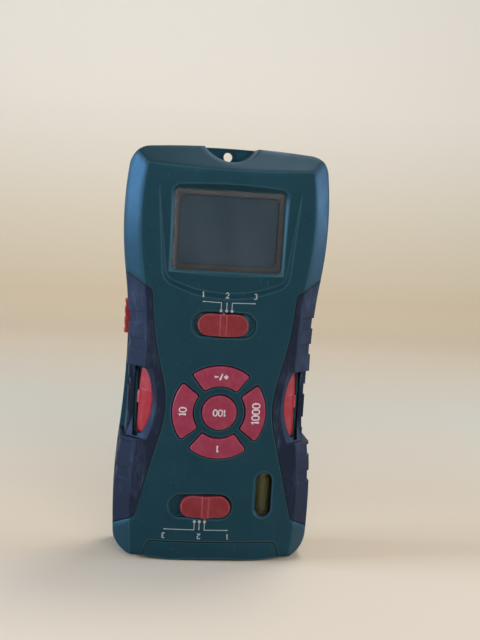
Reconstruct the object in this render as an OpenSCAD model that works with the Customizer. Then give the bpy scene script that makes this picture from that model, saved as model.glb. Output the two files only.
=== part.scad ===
// Hand-held wall detector, ultrasonic distance meter and line laser.
// Every shape is laid out in front view: x to the right, y up from the ends of the end
// cap, and the third number is 0 at the crest of the front face, negative into the depth.

/* [Overall] */
// Height of the body's arched top above the ends of its end cap
body_h = 172; // [168:1:208]
// Width across the head, the widest place
head_w = 85.4; // [80:0.2:104]
// Depth of the housing, without the pieces that stand proud of it
body_d = 32; // [32:0.5:40]

/* [Housing] */
// Thickness of the moulded walls
wall = 2.4; // [1.9:0.1:3]
// Depth of the plane where the front and rear shells meet
part_d = 13; // [12.4:0.1:14]
// Width of the seams between fixed pieces
seam = 0.25; // [0.15:0.05:0.4]
// Radius of the crown across the front face
crown_r = 220; // [180:5:300]
// How far the waist stands in from the head on each side
waist_in = 4.05; // [3.4:0.05:4.9]
// How far the foot stands in from the head on each side
foot_in = 0.75; // [0.6:0.05:0.9]
// Width of the bevel round the front edge
bevel_w = 6.6; // [5.5:0.1:7]
// Depth at which the bevel meets the flank
bevel_d = 9; // [8:0.1:10]
// Radius of the rear edges
rear_r = 4; // [3:0.1:5]
// Radius of the top corners
top_corner_r = 8.5; // [7:0.1:10]
// Radius of the bottom corners
foot_corner_r = 9; // [7:0.1:10]
// Width of the scoop in the front edge at the waist
scoop_w = 10.95; // [9:0.05:12]

// How far the curved base of the end cap hangs below its ends
foot_drop = 1.7; // [1.2:0.1:2.2]

/* [Notch] */
// Radius of the arc-shaped notch in the top
notch_r = 13.7; // [12:0.1:16]
// Depth of the notch below the top edge
notch_h = 6.4; // [5.4:0.1:7.6]
// Diameter of the marking hole
hole_dia = 4; // [3.2:0.1:4.8]
// Thickness of the plate that carries the marking hole
web_t = 3.5; // [2.8:0.1:4.2]
// Depth of the front of that plate
web_d = 21; // [17.5:0.5:24]

/* [Display] */
// Width of the display window
window_w = 45.8; // [38:0.1:50]
// Height of the display window
window_h = 33.1; // [28:0.1:36]
// Distance from the top of the body to the window
window_drop = 17.9; // [17:0.1:21]
// Thickness of the window pane
pane_t = 1.4; // [1.2:0.1:1.6]
// Radius of the window's corners
window_r = 2.2; // [1.5:0.1:3]
// Depth of the dish round the window
dish_d = 1.2; // [1:0.1:1.4]

/* [Selectors] */
// Length of the two selector slots
slot_l = 26.5; // [26:0.1:31]
// Width of the two selector slots
slot_w = 9.8; // [9.6:0.1:11]
// Length of a selector knob
knob_l = 20.9; // [18:0.1:21]
// Running gap at the sides of a knob
knob_gap = 0.3; // [0.2:0.05:0.4]
// Travel of a knob from its middle place to either end
knob_travel = 2.2; // [1.8:0.1:2.6]
// How far a knob's rib stands above the crest of the front face
knob_proud = 2; // [1.7:0.1:2.4]
// Height of the lower slot above the base
lower_slot_z = 22; // [21:0.1:24]
// Distance from the window down to the upper slot
upper_slot_drop = 21.9; // [19:0.1:24]
// Distance of the lower slot's middle left of the centre line
lower_slot_left = 5.9; // [5:0.1:7]

/* [Keypad] */
// Outer radius of the ring of four keys
ring_r = 19.75; // [16.5:0.05:20.5]
// Radial width of a ring key
ring_w = 8.9; // [7.5:0.1:9]
// Angle left between two ring keys
ring_gap = 14; // [12:1:18]
// Diameter of the centre key
hub_dia = 15; // [12.5:0.1:16]
// Distance from the upper slot down to the middle of the keypad
keypad_drop = 36.6; // [36:0.1:44]
// How far the keys stand above the face
key_proud = 1.2; // [0.9:0.1:1.4]
// Running gap round each key
key_gap = 0.25; // [0.2:0.05:0.4]
// Travel of a key
key_travel = 0.7; // [0.5:0.1:0.8]

/* [Grips] */
// Thickness of the rubber grips
grip_t = 2; // [1.6:0.1:2.4]
// Depth to which the grips reach round the flank
grip_back = 27; // [26:0.5:28]
// Depth of the grooves between the grip pads
groove_d = 0.65; // [0.4:0.05:0.9]
// Width of those grooves
groove_w = 4.6; // [3.8:0.1:5.5]
// Height of the side windows
port_h = 30.5; // [25:0.5:32]

/* [Side keys] */
// Height of a squeeze key
squeeze_h = 27.3; // [22.5:0.1:28]
// Width of a squeeze key across the sloping edge
squeeze_w = 8; // [6.7:0.1:9]
// Travel of a squeeze key, square to the sloping edge
squeeze_travel = 1.2; // [1:0.1:1.4]
// Height of the side trigger
trigger_h = 14; // [12:0.5:16]
// Width of the side trigger, front to back
trigger_w = 7; // [6:0.1:8]
// How far the trigger stands out of the flank
trigger_proud = 1.6; // [1.4:0.1:2.2]
// Travel of the trigger
trigger_travel = 1.3; // [1:0.1:1.6]

/* [Vial] */
// Length of the vial's window
sight_l = 18.8; // [16.5:0.1:21]
// Width of the vial's window
sight_w = 6.7; // [6:0.1:7.6]
// Outer diameter of the vial
vial_dia = 8.4; // [8.2:0.1:9]
// Distance of the vial from the centre line
vial_x = 21.1; // [20:0.1:21.4]
// Height of the vial's middle
vial_z = 27.3; // [26:0.1:30]

/* [Battery] */
// Width of the nine-volt block
battery_w = 26.2; // [25:0.1:27]
// Depth of the nine-volt block
battery_t = 17; // [16:0.1:17.5]
// Length of the nine-volt block
battery_l = 46.5; // [44:0.1:49]
// Height of the bottom of the battery bay
bay_z = 30; // [29:0.5:34]

/* [Hidden] */
$fn = 48;

TEAL = "#1c3a44";
NAVY = "#262e48";
RED = "#963850";
fine = 180;
far = 60;
over = 1;
above = 4;
sink = 0.4;
least_r = 1;
room = 0.3;
front_y = knob_proud - (body_d + knob_proud) / 2;

// Front-view outline: four arcs on each side, each tangent to the next
head_half = head_w / 2;
waist_half = head_half - waist_in;
foot_half = head_half - foot_in;
head_drop = 30;
head_z = body_h - head_drop;
waist_z = 88;
foot_z = 22;
head_r = 160;
foot_r = 260;
arch_r = 400;
function linking_r(step, rise, r) = rise * rise / (2 * step) - r + step / 2;
upper_r = linking_r(waist_in, head_z - waist_z, head_r);
lower_r = linking_r(waist_in - foot_in, waist_z - foot_z, foot_r);
head_c = [head_half - head_r, head_z];
upper_c = [waist_half + upper_r, waist_z];
lower_c = [waist_half + lower_r, waist_z];
foot_c = [foot_half - foot_r, foot_z];
arch_c = [0, body_h - arch_r];
function y_on(a, b, x) = a[1] + (x - a[0]) * (b[1] - a[1]) / (b[0] - a[0]);
function joint_y(a, ra, b, rb) = a[1] + (b[1] - a[1]) * ra / (ra + rb);
head_joint = joint_y(head_c, head_r, upper_c, upper_r);
foot_joint = joint_y(lower_c, lower_r, foot_c, foot_r);
function half_at(z) =
    z > head_joint ? head_c[0] + sqrt(pow(head_r, 2) - pow(z - head_c[1], 2)) :
    z > waist_z ? upper_c[0] - sqrt(pow(upper_r, 2) - pow(z - waist_z, 2)) :
    z > foot_joint ? lower_c[0] - sqrt(pow(lower_r, 2) - pow(z - waist_z, 2)) :
    foot_c[0] + sqrt(pow(foot_r, 2) - pow(z - foot_z, 2));

// Corner circles, tangent inside to the arcs on either side of them
function unit(v) = v / norm(v);
function inner_meet(a, ra, b, rb) =
    let (d = norm(b - a), k = (ra * ra - rb * rb + d * d) / (2 * d), u = unit(b - a))
    a + k * u + sqrt(ra * ra - k * k) * [u[1], -u[0]];
top_c = inner_meet(arch_c, arch_r - top_corner_r, head_c, head_r - top_corner_r);
corner_c = [foot_c[0] + sqrt(pow(foot_r - foot_corner_r, 2) - pow(foot_corner_r - foot_z, 2)),
            foot_corner_r];

// Bevel and scoop
bevel_rise = 6.1;
bevel_slope = bevel_rise / bevel_w;
bevel_len = norm([bevel_rise, bevel_w]);
scoop_half = waist_half - scoop_w;
scoop_r = 45;
scoop_z = 66;
scoop_d = 3.2;
scoop_foot = 11;
port_z = scoop_z - 1.2;
scoop_slope = 0.89;
scoop_len = norm([1, scoop_slope]);
scoop_angle = 90 - atan(scoop_slope);

// Grip outline
panel_z = 64.5;
panel_r = 44;
panel_half = scoop_half - 5.3;
panel_up = 14;
panel_down = 14.5;
panel_run = 8.8;
panel_top_r = 150;
panel_edge = 30.4;
grip_corner_r = 2.3;
grip_top = 112.5;
grip_foot = 16.6;
grip_top_rise = 30.8;
grip_foot_fall = 30;
fit = 0.15;
recess = grip_t + fit;
step_wall = 1.4;

// Levels in the depth
pane_d = dish_d + 1.7;
ledge_t = 0.8;
ledge_w = 2;
frame_w = 3;
board_d = 8.4;
board_t = 1.6;
window_top = body_h - window_drop;
window_z = window_top - window_h / 2;
window_flare = 0.9;
upper_slot_z = window_top - window_h - upper_slot_drop;
keypad_z = upper_slot_z - keypad_drop;
notch_c = [0, body_h - notch_h + notch_r];
hole_rise = 2.8;
hole_z = body_h - notch_h + hole_rise;

// End cap
cap_h = 6.7;
cap_half = 29.4;
cap_lean = 2.1;
cap_corner_r = 2.5;
cap_floor = 2;
cap_flat_half = 12;
cap_lip = 1.6;
cap_room_half = cap_half - 4.5;
cap_edge = 1.2;

// Screws, as places in front view
shell_screw_at = [[33, body_h - 24], [-33, body_h - 24], [32, 26], [-32, 26]];
board_screw_at = [[27, upper_slot_z + 13], [-27, upper_slot_z + 13], [-14, 36], [11, 36]];
post_r = 3.3;
pilot_r = 1.27;
pilot_d = 5;
board_pilot_d = 4;
shank_r = 1.22;
screw_head_r = 2.6;
screw_head_t = 2.2;
screw_seat_d = 20;
board_post_r = 2.4;
board_pilot_r = 0.85;
board_shank_r = 0.8;

module front_view() {
    translate([0, front_y, foot_drop]) rotate([90, 0, 0]) children();
}

module both_sides() {
    children();
    mirror([1, 0, 0]) children();
}

module slab(z0, z1) {
    translate([0, 0, z0]) linear_extrude(z1 - z0) children();
}

// Section through a flank, inset by t: x is the distance in from the side, y the depth
module flank(t, reach) {
    drop = t * bevel_len / bevel_w;
    corner = max(rear_r - t, least_r);
    top = above - over;
    difference() {
        polygon([[t, bevel_slope * t - bevel_d - drop],
                 [(bevel_d + top + drop) / bevel_slope, top],
                 [reach, top], [reach, t - body_d], [t, t - body_d]]);
        translate([t, t - body_d]) difference() {
            translate([-over, -over]) square(corner + over);
            translate([corner, corner]) circle(r = corner);
        }
    }
}

// Solid whose side follows an arc about c, bulging out or curving in
module arc_band(c, r, bulges, t, reach) {
    translate(c) rotate_extrude($fn = fine)
        translate([r, 0]) mirror([bulges ? 1 : 0, 0]) flank(t, reach);
}

// Slice between two lines, each given by its heights at x = mid_lap and x = far
mid_lap = -1;
module between(low, high) {
    slab(-body_d - over, above)
        polygon([[mid_lap, low[0]], [far, low[1]], [far, high[1]], [mid_lap, high[0]]]);
}

module half_form(t) {
    top_joint = [y_on(head_c, upper_c, mid_lap), y_on(head_c, upper_c, far)];
    mid_joint = [waist_z, waist_z];
    low_joint = [y_on(lower_c, foot_c, mid_lap), y_on(lower_c, foot_c, far)];
    intersection() {
        arc_band(head_c, head_r, true, t, far);
        between(top_joint, [body_h, body_h]);
    }
    intersection() {
        arc_band(upper_c, upper_r, false, t, far);
        between(mid_joint, top_joint);
    }
    intersection() {
        arc_band(lower_c, lower_r, false, t, far);
        between(low_joint, mid_joint);
    }
    intersection() {
        arc_band(foot_c, foot_r, true, t, far);
        between([t, t], low_joint);
    }
}

module corner_cut(c, r, dir_a, dir_b, t) {
    inner = max(r - t, least_r);
    out = r + above;
    slab(-body_d - over, above) translate(c) difference() {
        polygon([[0, 0], dir_a * out, (dir_a + dir_b) * out, dir_b * out]);
        circle(r = inner, $fn = 64);
    }
}

// Conical scoop at the waist, with a flat foot and square ends
module scoop(t) {
    foot = scoop_foot + t;
    intersection() {
        translate([scoop_half + scoop_r, scoop_z, -foot])
            cylinder(h = foot + above, $fn = fine,
                     r1 = scoop_r + (scoop_d - foot) * scoop_slope + t * scoop_len,
                     r2 = scoop_r + (scoop_d + above) * scoop_slope + t * scoop_len);
        slab(-body_d, above + over)
            translate([0, port_z - port_h / 2 - t]) square([far, port_h + 2 * t]);
    }
}

// The whole envelope of the body, inset by t
module form(t) {
    difference() {
        intersection() {
            both_sides() half_form(t);
            arc_band(arch_c, arch_r, true, t, body_h + far);
            translate([0, -over, -crown_r]) rotate([-90, 0, 0])
                cylinder(r = crown_r - t, h = body_h + 2 * over, $fn = fine);
        }
        both_sides() {
            corner_cut(top_c, top_corner_r, unit(top_c - head_c), unit(top_c - arch_c), t);
            corner_cut(corner_c, foot_corner_r, unit(corner_c - foot_c), [0, -1], t);
            scoop(t);
        }
    }
}

// Right-hand grip area, grown by g on every side
function arc_points(c, r, a0, a1, n) =
    [for (i = [0:n]) let (a = a0 + (a1 - a0) * i / n) c + r * [cos(a), sin(a)]];
// Corner circle inside a grip, touching its edge along the arc about a and the line
// through p whose outward normal is n
function corner_between(a, ra, p, n, r) =
    let (q = p - r * n, t = [n[1], -n[0]], b = (q - a) * t, d = (q - a) * (q - a) - pow(ra + r, 2))
    q + (sqrt(b * b - d) - b) * t;
function normal(angle) = [cos(angle), sin(angle)];
module grip_outline(g) {
    mid_c = [panel_half + panel_r, panel_z];
    up_c = mid_c + panel_r * normal(180 - panel_up)
           + panel_run * [sin(panel_up), cos(panel_up)] + panel_top_r * normal(180 - panel_up);
    top_n = normal(90 + grip_top_rise);
    top_p = [panel_edge, grip_top];
    top_c = corner_between(up_c, panel_top_r, top_p, top_n, grip_corner_r);
    top_a = atan((top_c[1] - up_c[1]) / (top_c[0] - up_c[0]));
    low_pt = mid_c + panel_r * normal(180 + panel_down);
    foot_n = normal(270 - grip_foot_fall);
    low_n = normal(180 + panel_down);
    foot_p = [low_pt[0] + (low_pt[1] - grip_foot) * tan(panel_down), grip_foot];
    foot_c = foot_p - grip_corner_r * (foot_n + low_n) / (1 + foot_n * low_n);
    polygon(concat(
        [[far, y_on(top_p + g * top_n, top_p + g * top_n + [1, tan(grip_top_rise)], far)]],
        arc_points(top_c, grip_corner_r + g, 90 + grip_top_rise, 180 + top_a, 6),
        arc_points(up_c, panel_top_r - g, top_a, -panel_up, 10),
        arc_points(mid_c, panel_r + g, 180 - panel_up, 180 + panel_down, 16),
        arc_points(foot_c, grip_corner_r + g, 180 + panel_down, 270 - grip_foot_fall, 6),
        [[far, y_on(foot_p + g * foot_n, foot_p + g * foot_n + [1, -tan(grip_foot_fall)], far)]]));
}
module grip_area(g) {
    slab(-grip_back - g, above) grip_outline(g);
}

// Outer skin with the recesses that the grips lie in
module skin() {
    difference() {
        form(0);
        both_sides() grip_area(0);
    }
    form(recess);
}

// Hollow that keeps the wall's thickness everywhere
module hollow() {
    difference() {
        form(wall);
        both_sides() grip_area(step_wall);
        notch_room();
        cap_room(wall);
    }
    difference() {
        form(recess + wall);
        notch_room();
        cap_room(wall);
    }
}
module notch_room() {
    slab(-body_d - over, above) translate(notch_c) circle(r = notch_r + wall, $fn = 96);
}
notch_draft = 0.4;
module notch() {
    translate([0, notch_c[1], -web_d])
        cylinder(r1 = notch_r - notch_draft, r2 = notch_r, h = web_d, $fn = 96);
    slab(-body_d - over, -web_d - web_t)
        translate(notch_c) circle(r = notch_r - notch_draft, $fn = 96);
    slab(-0.01, above) translate(notch_c) circle(r = notch_r, $fn = 96);
}
module hole() {
    slab(-body_d - over, over) translate([0, hole_z]) circle(d = hole_dia);
}

// End cap's area in the foot of the body
module cap_room(g) {
    lean = atan(cap_lean / cap_h);
    corner = [cap_half - cap_corner_r / cos(lean) - (cap_h - cap_corner_r) * tan(lean),
              cap_h - cap_corner_r];
    low = corner + (cap_corner_r + g) * normal(lean)
          + (corner[1] + foot_drop + above) * [tan(lean), -1];
    right = concat([low], arc_points(corner, cap_corner_r + g, lean, 90, 8));
    slab(-body_d - over, above)
        polygon(concat(right, [for (i = [len(right) - 1:-1:0]) [-right[i][0], right[i][1]]]));
}
module end_cap() color(TEAL) front_view() {
    difference() {
        intersection() {
            form_foot();
            cap_room(-seam);
        }
        slab(wall - body_d, -wall - cap_lip)
            polygon([[-cap_room_half, cap_floor], [over - cap_room_half, cap_h + over],
                     [cap_room_half - over, cap_h + over], [cap_room_half, cap_floor]]);
        horn_axis() translate([0, 0, -foot_drop - over]) cylinder(r = horn_mouth_r + fit, h = 2 * cap_h);
        laser_axis() translate([0, 0, -foot_drop - over]) cylinder(r = laser_pane_r + fit, h = 2 * cap_h);
    }
}
// Envelope of the foot, whose base is a flat between two rising curves
module form_foot() {
    rise_r = (pow(cap_half, 2) - pow(cap_flat_half, 2)) / (2 * foot_drop);
    low = -foot_drop;
    high = cap_h + 2 * over;
    intersection() {
        translate([0, low - over, -crown_r]) rotate([-90, 0, 0])
            cylinder(r = crown_r, h = high - low + 2 * over, $fn = fine);
        translate([-far, 0, 0]) rotate([90, 0, 90]) linear_extrude(2 * far)
            polygon([[low, -body_d + cap_edge], [low + cap_edge, -body_d], [high, -body_d],
                     [high, over], [low + cap_edge, over], [low + cap_edge, 0], [low, -cap_edge]]);
        translate([0, low + sqrt(pow(rise_r, 2) - pow(cap_flat_half, 2)), -body_d - over])
            cylinder(r = rise_r, h = body_d + above + over, $fn = fine);
    }
}

// Horn and laser in the foot
inner_gap = 0.3;
horn_x = -9;
laser_x = 14;
bottom_d = 19.5;
horn_mouth_r = 8.4;
horn_throat_r = 7;
horn_wall = 1;
horn_h = 10;
transducer_r = 7;
transducer_h = 11;
laser_r = 4.5;
laser_l = 20;
laser_pane_r = 3;
laser_pane_t = 1.45;
laser_bore_r = 2.2;
module horn_axis() translate([horn_x, 0, -bottom_d]) rotate([-90, 0, 0]) children();
module laser_axis() translate([laser_x, 0, -bottom_d]) rotate([-90, 0, 0]) children();
module beam_ways() {
    horn_axis() cylinder(r = horn_mouth_r + horn_wall + inner_gap, h = cap_h + wall + above);
    laser_axis() cylinder(r = laser_r + inner_gap, h = cap_h + wall + above);
}

module stadium(l, w) {
    square([l - w, w], center = true);
    translate([(l - w) / 2, 0]) circle(d = w);
    translate([(w - l) / 2, 0]) circle(d = w);
}

module rounded(l, w, r) {
    square([l, w - 2 * r], center = true);
    square([l - 2 * r, w], center = true);
    for (x = [-1, 1], y = [-1, 1]) translate([x * (l / 2 - r), y * (w / 2 - r)]) circle(r = r);
}

// Rounded opening whose walls lean out from z0 to z1 by the given slope
module flared(l, w, r, z0, z1, slope) {
    lean = (z1 - z0) * slope;
    for (x = [-1, 1], y = w > 2 * r ? [-1, 1] : [1])
        translate([x * (l / 2 - r), y * (w / 2 - r), z0])
            cylinder(r1 = r, r2 = r + lean, h = z1 - z0);
    if (w > 2 * r)
        rotate([90, 0, 0]) linear_extrude(w - 2 * r, center = true)
            polygon([[-l / 2, z0], [l / 2, z0], [l / 2 + lean, z1], [-l / 2 - lean, z1]]);
    rotate([90, 0, 90]) linear_extrude(l - 2 * r, center = true)
        polygon([[-w / 2, z0], [w / 2, z0], [w / 2 + lean, z1], [-w / 2 - lean, z1]]);
}

// Window opening, grown by g
module window_outline(g) {
    translate([0, window_z]) rounded(window_w + 2 * g, window_h + 2 * g, max(window_r + g, least_r / 2));
}

// Shallow dish with sloping sides round the window
dish_top_half = 24.6;
dish_foot_half = 21;
dish_r = 3.05;
dish_slope = 1.66;
dish_rise = 3;
dish_foot = window_top - window_h;
dish_low = [[0, 3], [11, 2.3], [dish_foot_half, 0.2]];
dish_tilt = atan(dish_d / (window_h + dish_rise));
module dish() {
    floor_d = dish_d + above / 2;
    high = floor_d + over;
    difference() {
        hull() both_sides() {
            translate([dish_top_half, window_top + dish_rise, -floor_d])
                cylinder(r1 = dish_r, r2 = dish_r + high * dish_slope, h = high, $fn = 32);
            for (p = dish_low) translate([p[0], dish_foot - p[1], -floor_d])
                cylinder(r1 = dish_r, r2 = dish_r + high * dish_slope, h = high, $fn = 32);
        }
        translate([0, window_top + dish_rise / 2, 0]) rotate([dish_tilt, 0, 0]) translate([0, 0, -crown_r])
            rotate([90, 0, 0]) cylinder(r = crown_r, h = 2 * body_h, $fn = fine, center = true);
    }
}

// Ring key outline, grown by g, with its middle towards +y
key_corner = 1.2;
module ring_key_outline(g) {
    r_out = ring_r + g;
    r_in = ring_r - ring_w - g;
    c = key_corner;
    half = 45 - ring_gap / 2;
    // corner circles touch the radial edge, which lies g outside the plain one
    a_out = half - asin((c - g) / (r_out - c));
    a_in = half - asin((c - g) / (r_in + c));
    out_c = (r_out - c) * [sin(a_out), cos(a_out)];
    in_c = (r_in + c) * [sin(a_in), cos(a_in)];
    right = concat(arc_points([0, 0], r_out, 90, 90 - a_out, 8),
                   arc_points(out_c, c, 90 - a_out, -half, 5),
                   arc_points(in_c, c, -half, -90 - a_in, 5),
                   arc_points([0, 0], r_in, 90 - a_in, 90, 8));
    polygon(right);
    mirror([1, 0]) polygon(right);
}
module at_keypad(turn) {
    translate([0, keypad_z]) rotate(turn) children();
}

// Solid under the crown, at the given depth below the crest
module under_crown(d) {
    translate([0, 0, -crown_r]) rotate([-90, 0, 0])
        cylinder(r = crown_r - d, h = body_h, $fn = fine);
}

mat_d = 7.4;
key_foot_d = 5;
flange_g = 0.8;
flange_t = 1.1;
key_rim = 0.8;
key_room_d = wall + seam + flange_t + key_rim;
module ring_key(turn) color(RED) front_view() {
    intersection() {
        slab(-key_foot_d, knob_proud) at_keypad(turn) ring_key_outline(0);
        under_crown(-key_proud);
    }
    intersection() {
        difference() {
            slab(-key_foot_d, 0) at_keypad(turn) ring_key_outline(flange_g);
            slab(-key_foot_d - over, -key_room_d) at_keypad(turn) ring_key_outline(-key_rim);
        }
        under_crown(wall + seam);
    }
}

// Selector knob, drawn about its own middle, with the pointer towards +y
knob_w = slot_w - 2 * knob_gap;
rib_w = 2.8;
slot_d = 1.5;
slot_bevel = 0.75;
vial_dip = 0.9;
vial_under = 1.3;
vial_l = sight_l + 5;
thumb_r = 9;
thumb_d = 1.5;
thumb_at = rib_w / 4 + knob_l / 4 - 0.4;
pointer_l = 0.7;
pointer_w = 2;
pointer_in = 0.5;
knob_foot = 0.6;
upper_knob_at = -0.6;
stem_l = 5;
stem_w = 3;
switch_t = 3.4;
switch_size = [13, 6.4];
switch_mouth = 1.2;
switch_d = board_d - switch_t;
module knob() {
    difference() {
        slab(-slot_d - knob_foot, knob_proud) stadium(knob_l, knob_w);
        both_sides() translate([thumb_at, 0, thumb_r + knob_proud - thumb_d])
            rotate([90, 0, 0]) cylinder(r = thumb_r, h = knob_w + above, center = true);
    }
    slab(-0.1, knob_proud - pointer_in)
        polygon([[-pointer_w / 2, knob_w / 2 - pointer_in], [pointer_w / 2, knob_w / 2 - pointer_in],
                 [0, knob_w / 2 + pointer_l]]);
    slab(room - switch_d, -slot_d - room) square([stem_l, stem_w], center = true);
}
// Way for a knob's stem over its whole travel
module stem_way() {
    square([stem_l + 2 * (knob_travel + sink), stem_w + 2 * room], center = true);
}
module slot_cut() {
    slab(-slot_d - over, above) stadium(slot_l, slot_w);
    flared(slot_l, slot_w, slot_w / 2, -slot_bevel, above / 2, 1);
    slab(-board_d, 0) stem_way();
}
module slide_switch() {
    difference() {
        slab(-board_d, -switch_d) square(switch_size, center = true);
        slab(-switch_d - switch_mouth, 1) stem_way();
    }
}
module at_upper_slot() translate([0, upper_slot_z, 0]) children();
module at_lower_slot() translate([-lower_slot_left, lower_slot_z, 0]) rotate(180) children();

// Frame of a right-hand squeeze key: the third axis leaves the sloping edge squarely
squeeze_lean = 2.2;
squeeze_mid = room + squeeze_w / 2;
spring_r = 2.4;
spring_wire = 0.35;
spring_l = 5 * squeeze_travel;
spring_gap = 0.05;
spring_turns = 4;
squeeze_z = scoop_z - 0.8;
module squeeze_frame() {
    translate([scoop_half + squeeze_mid * scoop_slope / scoop_len, squeeze_z,
               -scoop_d - squeeze_mid / scoop_len])
        rotate([0, scoop_angle, 0]) rotate(squeeze_lean) children();
}
// Outline of a squeeze key: one arc towards the middle of the body and blunt, rounded ends
squeeze_bulge = 3.6;
squeeze_corner = 2;
squeeze_r = (pow(squeeze_h / 2, 2) + pow(squeeze_bulge, 2)) / (2 * squeeze_bulge);
module squeeze_outline(g) {
    arc_x = squeeze_r - squeeze_w / 2;
    end_y = squeeze_h / 2 - squeeze_corner;
    tilt = asin(end_y / (squeeze_r - squeeze_corner));
    end_x = arc_x - (squeeze_r - squeeze_corner) * cos(tilt);
    edge = [squeeze_w / 2 + g, squeeze_h / 2 + g];
    polygon(concat(
        [edge],
        arc_points([end_x, end_y], squeeze_corner + g, 90, 180 - tilt, 5),
        arc_points([arc_x, 0], squeeze_r + g, 180 - tilt, 180 + tilt, 16),
        arc_points([end_x, -end_y], squeeze_corner + g, 180 + tilt, 270, 5),
        [[edge[0], -edge[1]]]));
}
squeeze_depth = recess + wall + room;
squeeze_proud = 0.5;
squeeze_flange = 1.2;
squeeze_rim = 0.8;
tab_h = 5.4;
tab_w = 0.65;
tab_at = 1;
tab_t = 2.6;
tab_d = 1.2;
squeeze_back = squeeze_depth + squeeze_flange;
module squeeze_key() {
    squeeze_frame() {
        slab(-squeeze_depth, squeeze_proud) squeeze_outline(0);
        slab(-squeeze_back, -squeeze_depth) squeeze_outline(squeeze_rim);
        translate([squeeze_w / 2, tab_at, -tab_d])
            cube([2 * tab_w, tab_h, tab_t], center = true);
    }
}
module squeeze_cut(g) {
    squeeze_frame() {
        slab(-squeeze_depth, 2 * above) squeeze_outline(g);
        slab(-squeeze_back - spring_l, room - squeeze_depth) squeeze_outline(squeeze_rim + g);
        slab(-above, 2 * above) translate([0, tab_at - tab_h / 2 - g])
            square([squeeze_w / 2 + tab_w + g, tab_h + 2 * g]);
    }
}
// Inclined seat for the spring, at the head of a rib on the rear wall
seat_w = 8.5;
seat_h = 10;
seat_in = 12;
module spring_seat() {
    difference() {
        translate([scoop_half - seat_in, scoop_z - seat_h / 2, wall - body_d - sink])
            cube([seat_w, seat_h, body_d - wall - part_d + over]);
        squeeze_frame() translate([-far, -far, -squeeze_back - spring_l]) cube(2 * far);
    }
}

// Side windows in the grips: an opening beside the key, a slot behind it and a rail outside
port_x = scoop_half + 5.6;
port_w = 1.9;
port_d = part_d + 3.4;
port_lip = 0.5;
rail_in = 1.5;
rail_groove_at = [scoop_z + 5.7, scoop_z - 8.8];
port_slot_at = 6.3;
port_slot_w = 1.7;
port_slot_h = 26;
port_slot_d = 1.6;
module port() {
    low = port_z - port_h / 2;
    rail_x = half_at(scoop_z) - rail_in;
    slab(-port_d, above)
        translate([port_x, low + port_lip]) square([port_w, port_h - 2 * port_lip]);
    slab(-grip_back - over, above) translate([rail_x, low]) square([far, port_h]);
    for (z = rail_groove_at)
        slab(-grip_back - over, above) translate([rail_x - groove_d, z - groove_w / 2])
            square([far, groove_w]);
}
module port_slot() {
    squeeze_frame() slab(-recess - port_slot_d, over)
        translate([port_slot_at - port_slot_w / 2, port_z - squeeze_z - port_slot_h / 2])
            square([port_slot_w, port_slot_h]);
}
groove_at = [100.5, 89.4, 45.8, 34.4];
module grooves() {
    difference() {
        for (z = groove_at)
            slab(-grip_back - over, above)
                translate([half_at(z) - bevel_w + over, z - groove_w / 2]) square([far, groove_w]);
        form(groove_d);
    }
}
module grip() {
    difference() {
        intersection() {
            form(0);
            grip_area(-fit);
        }
        form(grip_t);
        squeeze_cut(key_gap);
        port();
        grooves();
    }
}
module left_grip() color(NAVY) front_view() {
    difference() {
        mirror([1, 0, 0]) grip();
        trigger_cut(key_gap);
    }
}
module right_grip() color(NAVY) front_view() grip();

// Side trigger on the left flank
trigger_z = upper_slot_z + 0.4;
trigger_d = part_d + over + trigger_w / 2;
trigger_half = half_at(trigger_z) + trigger_proud;
trigger_in = half_at(trigger_z - trigger_h / 2 - over) - recess - wall;
trigger_rim = 0.9;
trigger_flange = 1.3;
trigger_back = trigger_in - room - trigger_flange;
trigger_stop = trigger_back - trigger_travel - room;
trigger_switch_l = 5;
trigger_switch_in = 0.8;
plunger_r = 1.6;
plunger_l = 0.8;
module trigger_block(g, x0, x1) {
    translate([-x1, trigger_z - trigger_h / 2 - g, -trigger_d - trigger_w / 2 - g])
        cube([x1 - x0, trigger_h + 2 * g, trigger_w + 2 * g]);
}
module trigger_cut(g) {
    trigger_block(g, trigger_in - 2, far);
}
module side_trigger() color(RED) front_view() {
    trigger_block(0, trigger_in - sink, trigger_half);
    trigger_block(trigger_rim, trigger_back, trigger_in - room);
}
module trigger_switch() color("dimgray") front_view() {
    trigger_block(-trigger_switch_in, trigger_stop - trigger_switch_l, trigger_stop);
    translate([room - trigger_stop - over / 2, trigger_z, -trigger_d])
        rotate([0, 90, 0]) cylinder(r = plunger_r, h = plunger_l);
}

// Rib on the rear wall that carries the trigger's switch
module trigger_rib() {
    top = trigger_d + trigger_w / 2 - trigger_switch_in;
    rib_h = trigger_h - 4 * trigger_switch_in;
    translate([-trigger_stop, trigger_z - rib_h / 2, wall - body_d - sink])
        cube([trigger_switch_l - over / 2, rib_h, body_d - wall + sink - top]);
}

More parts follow.
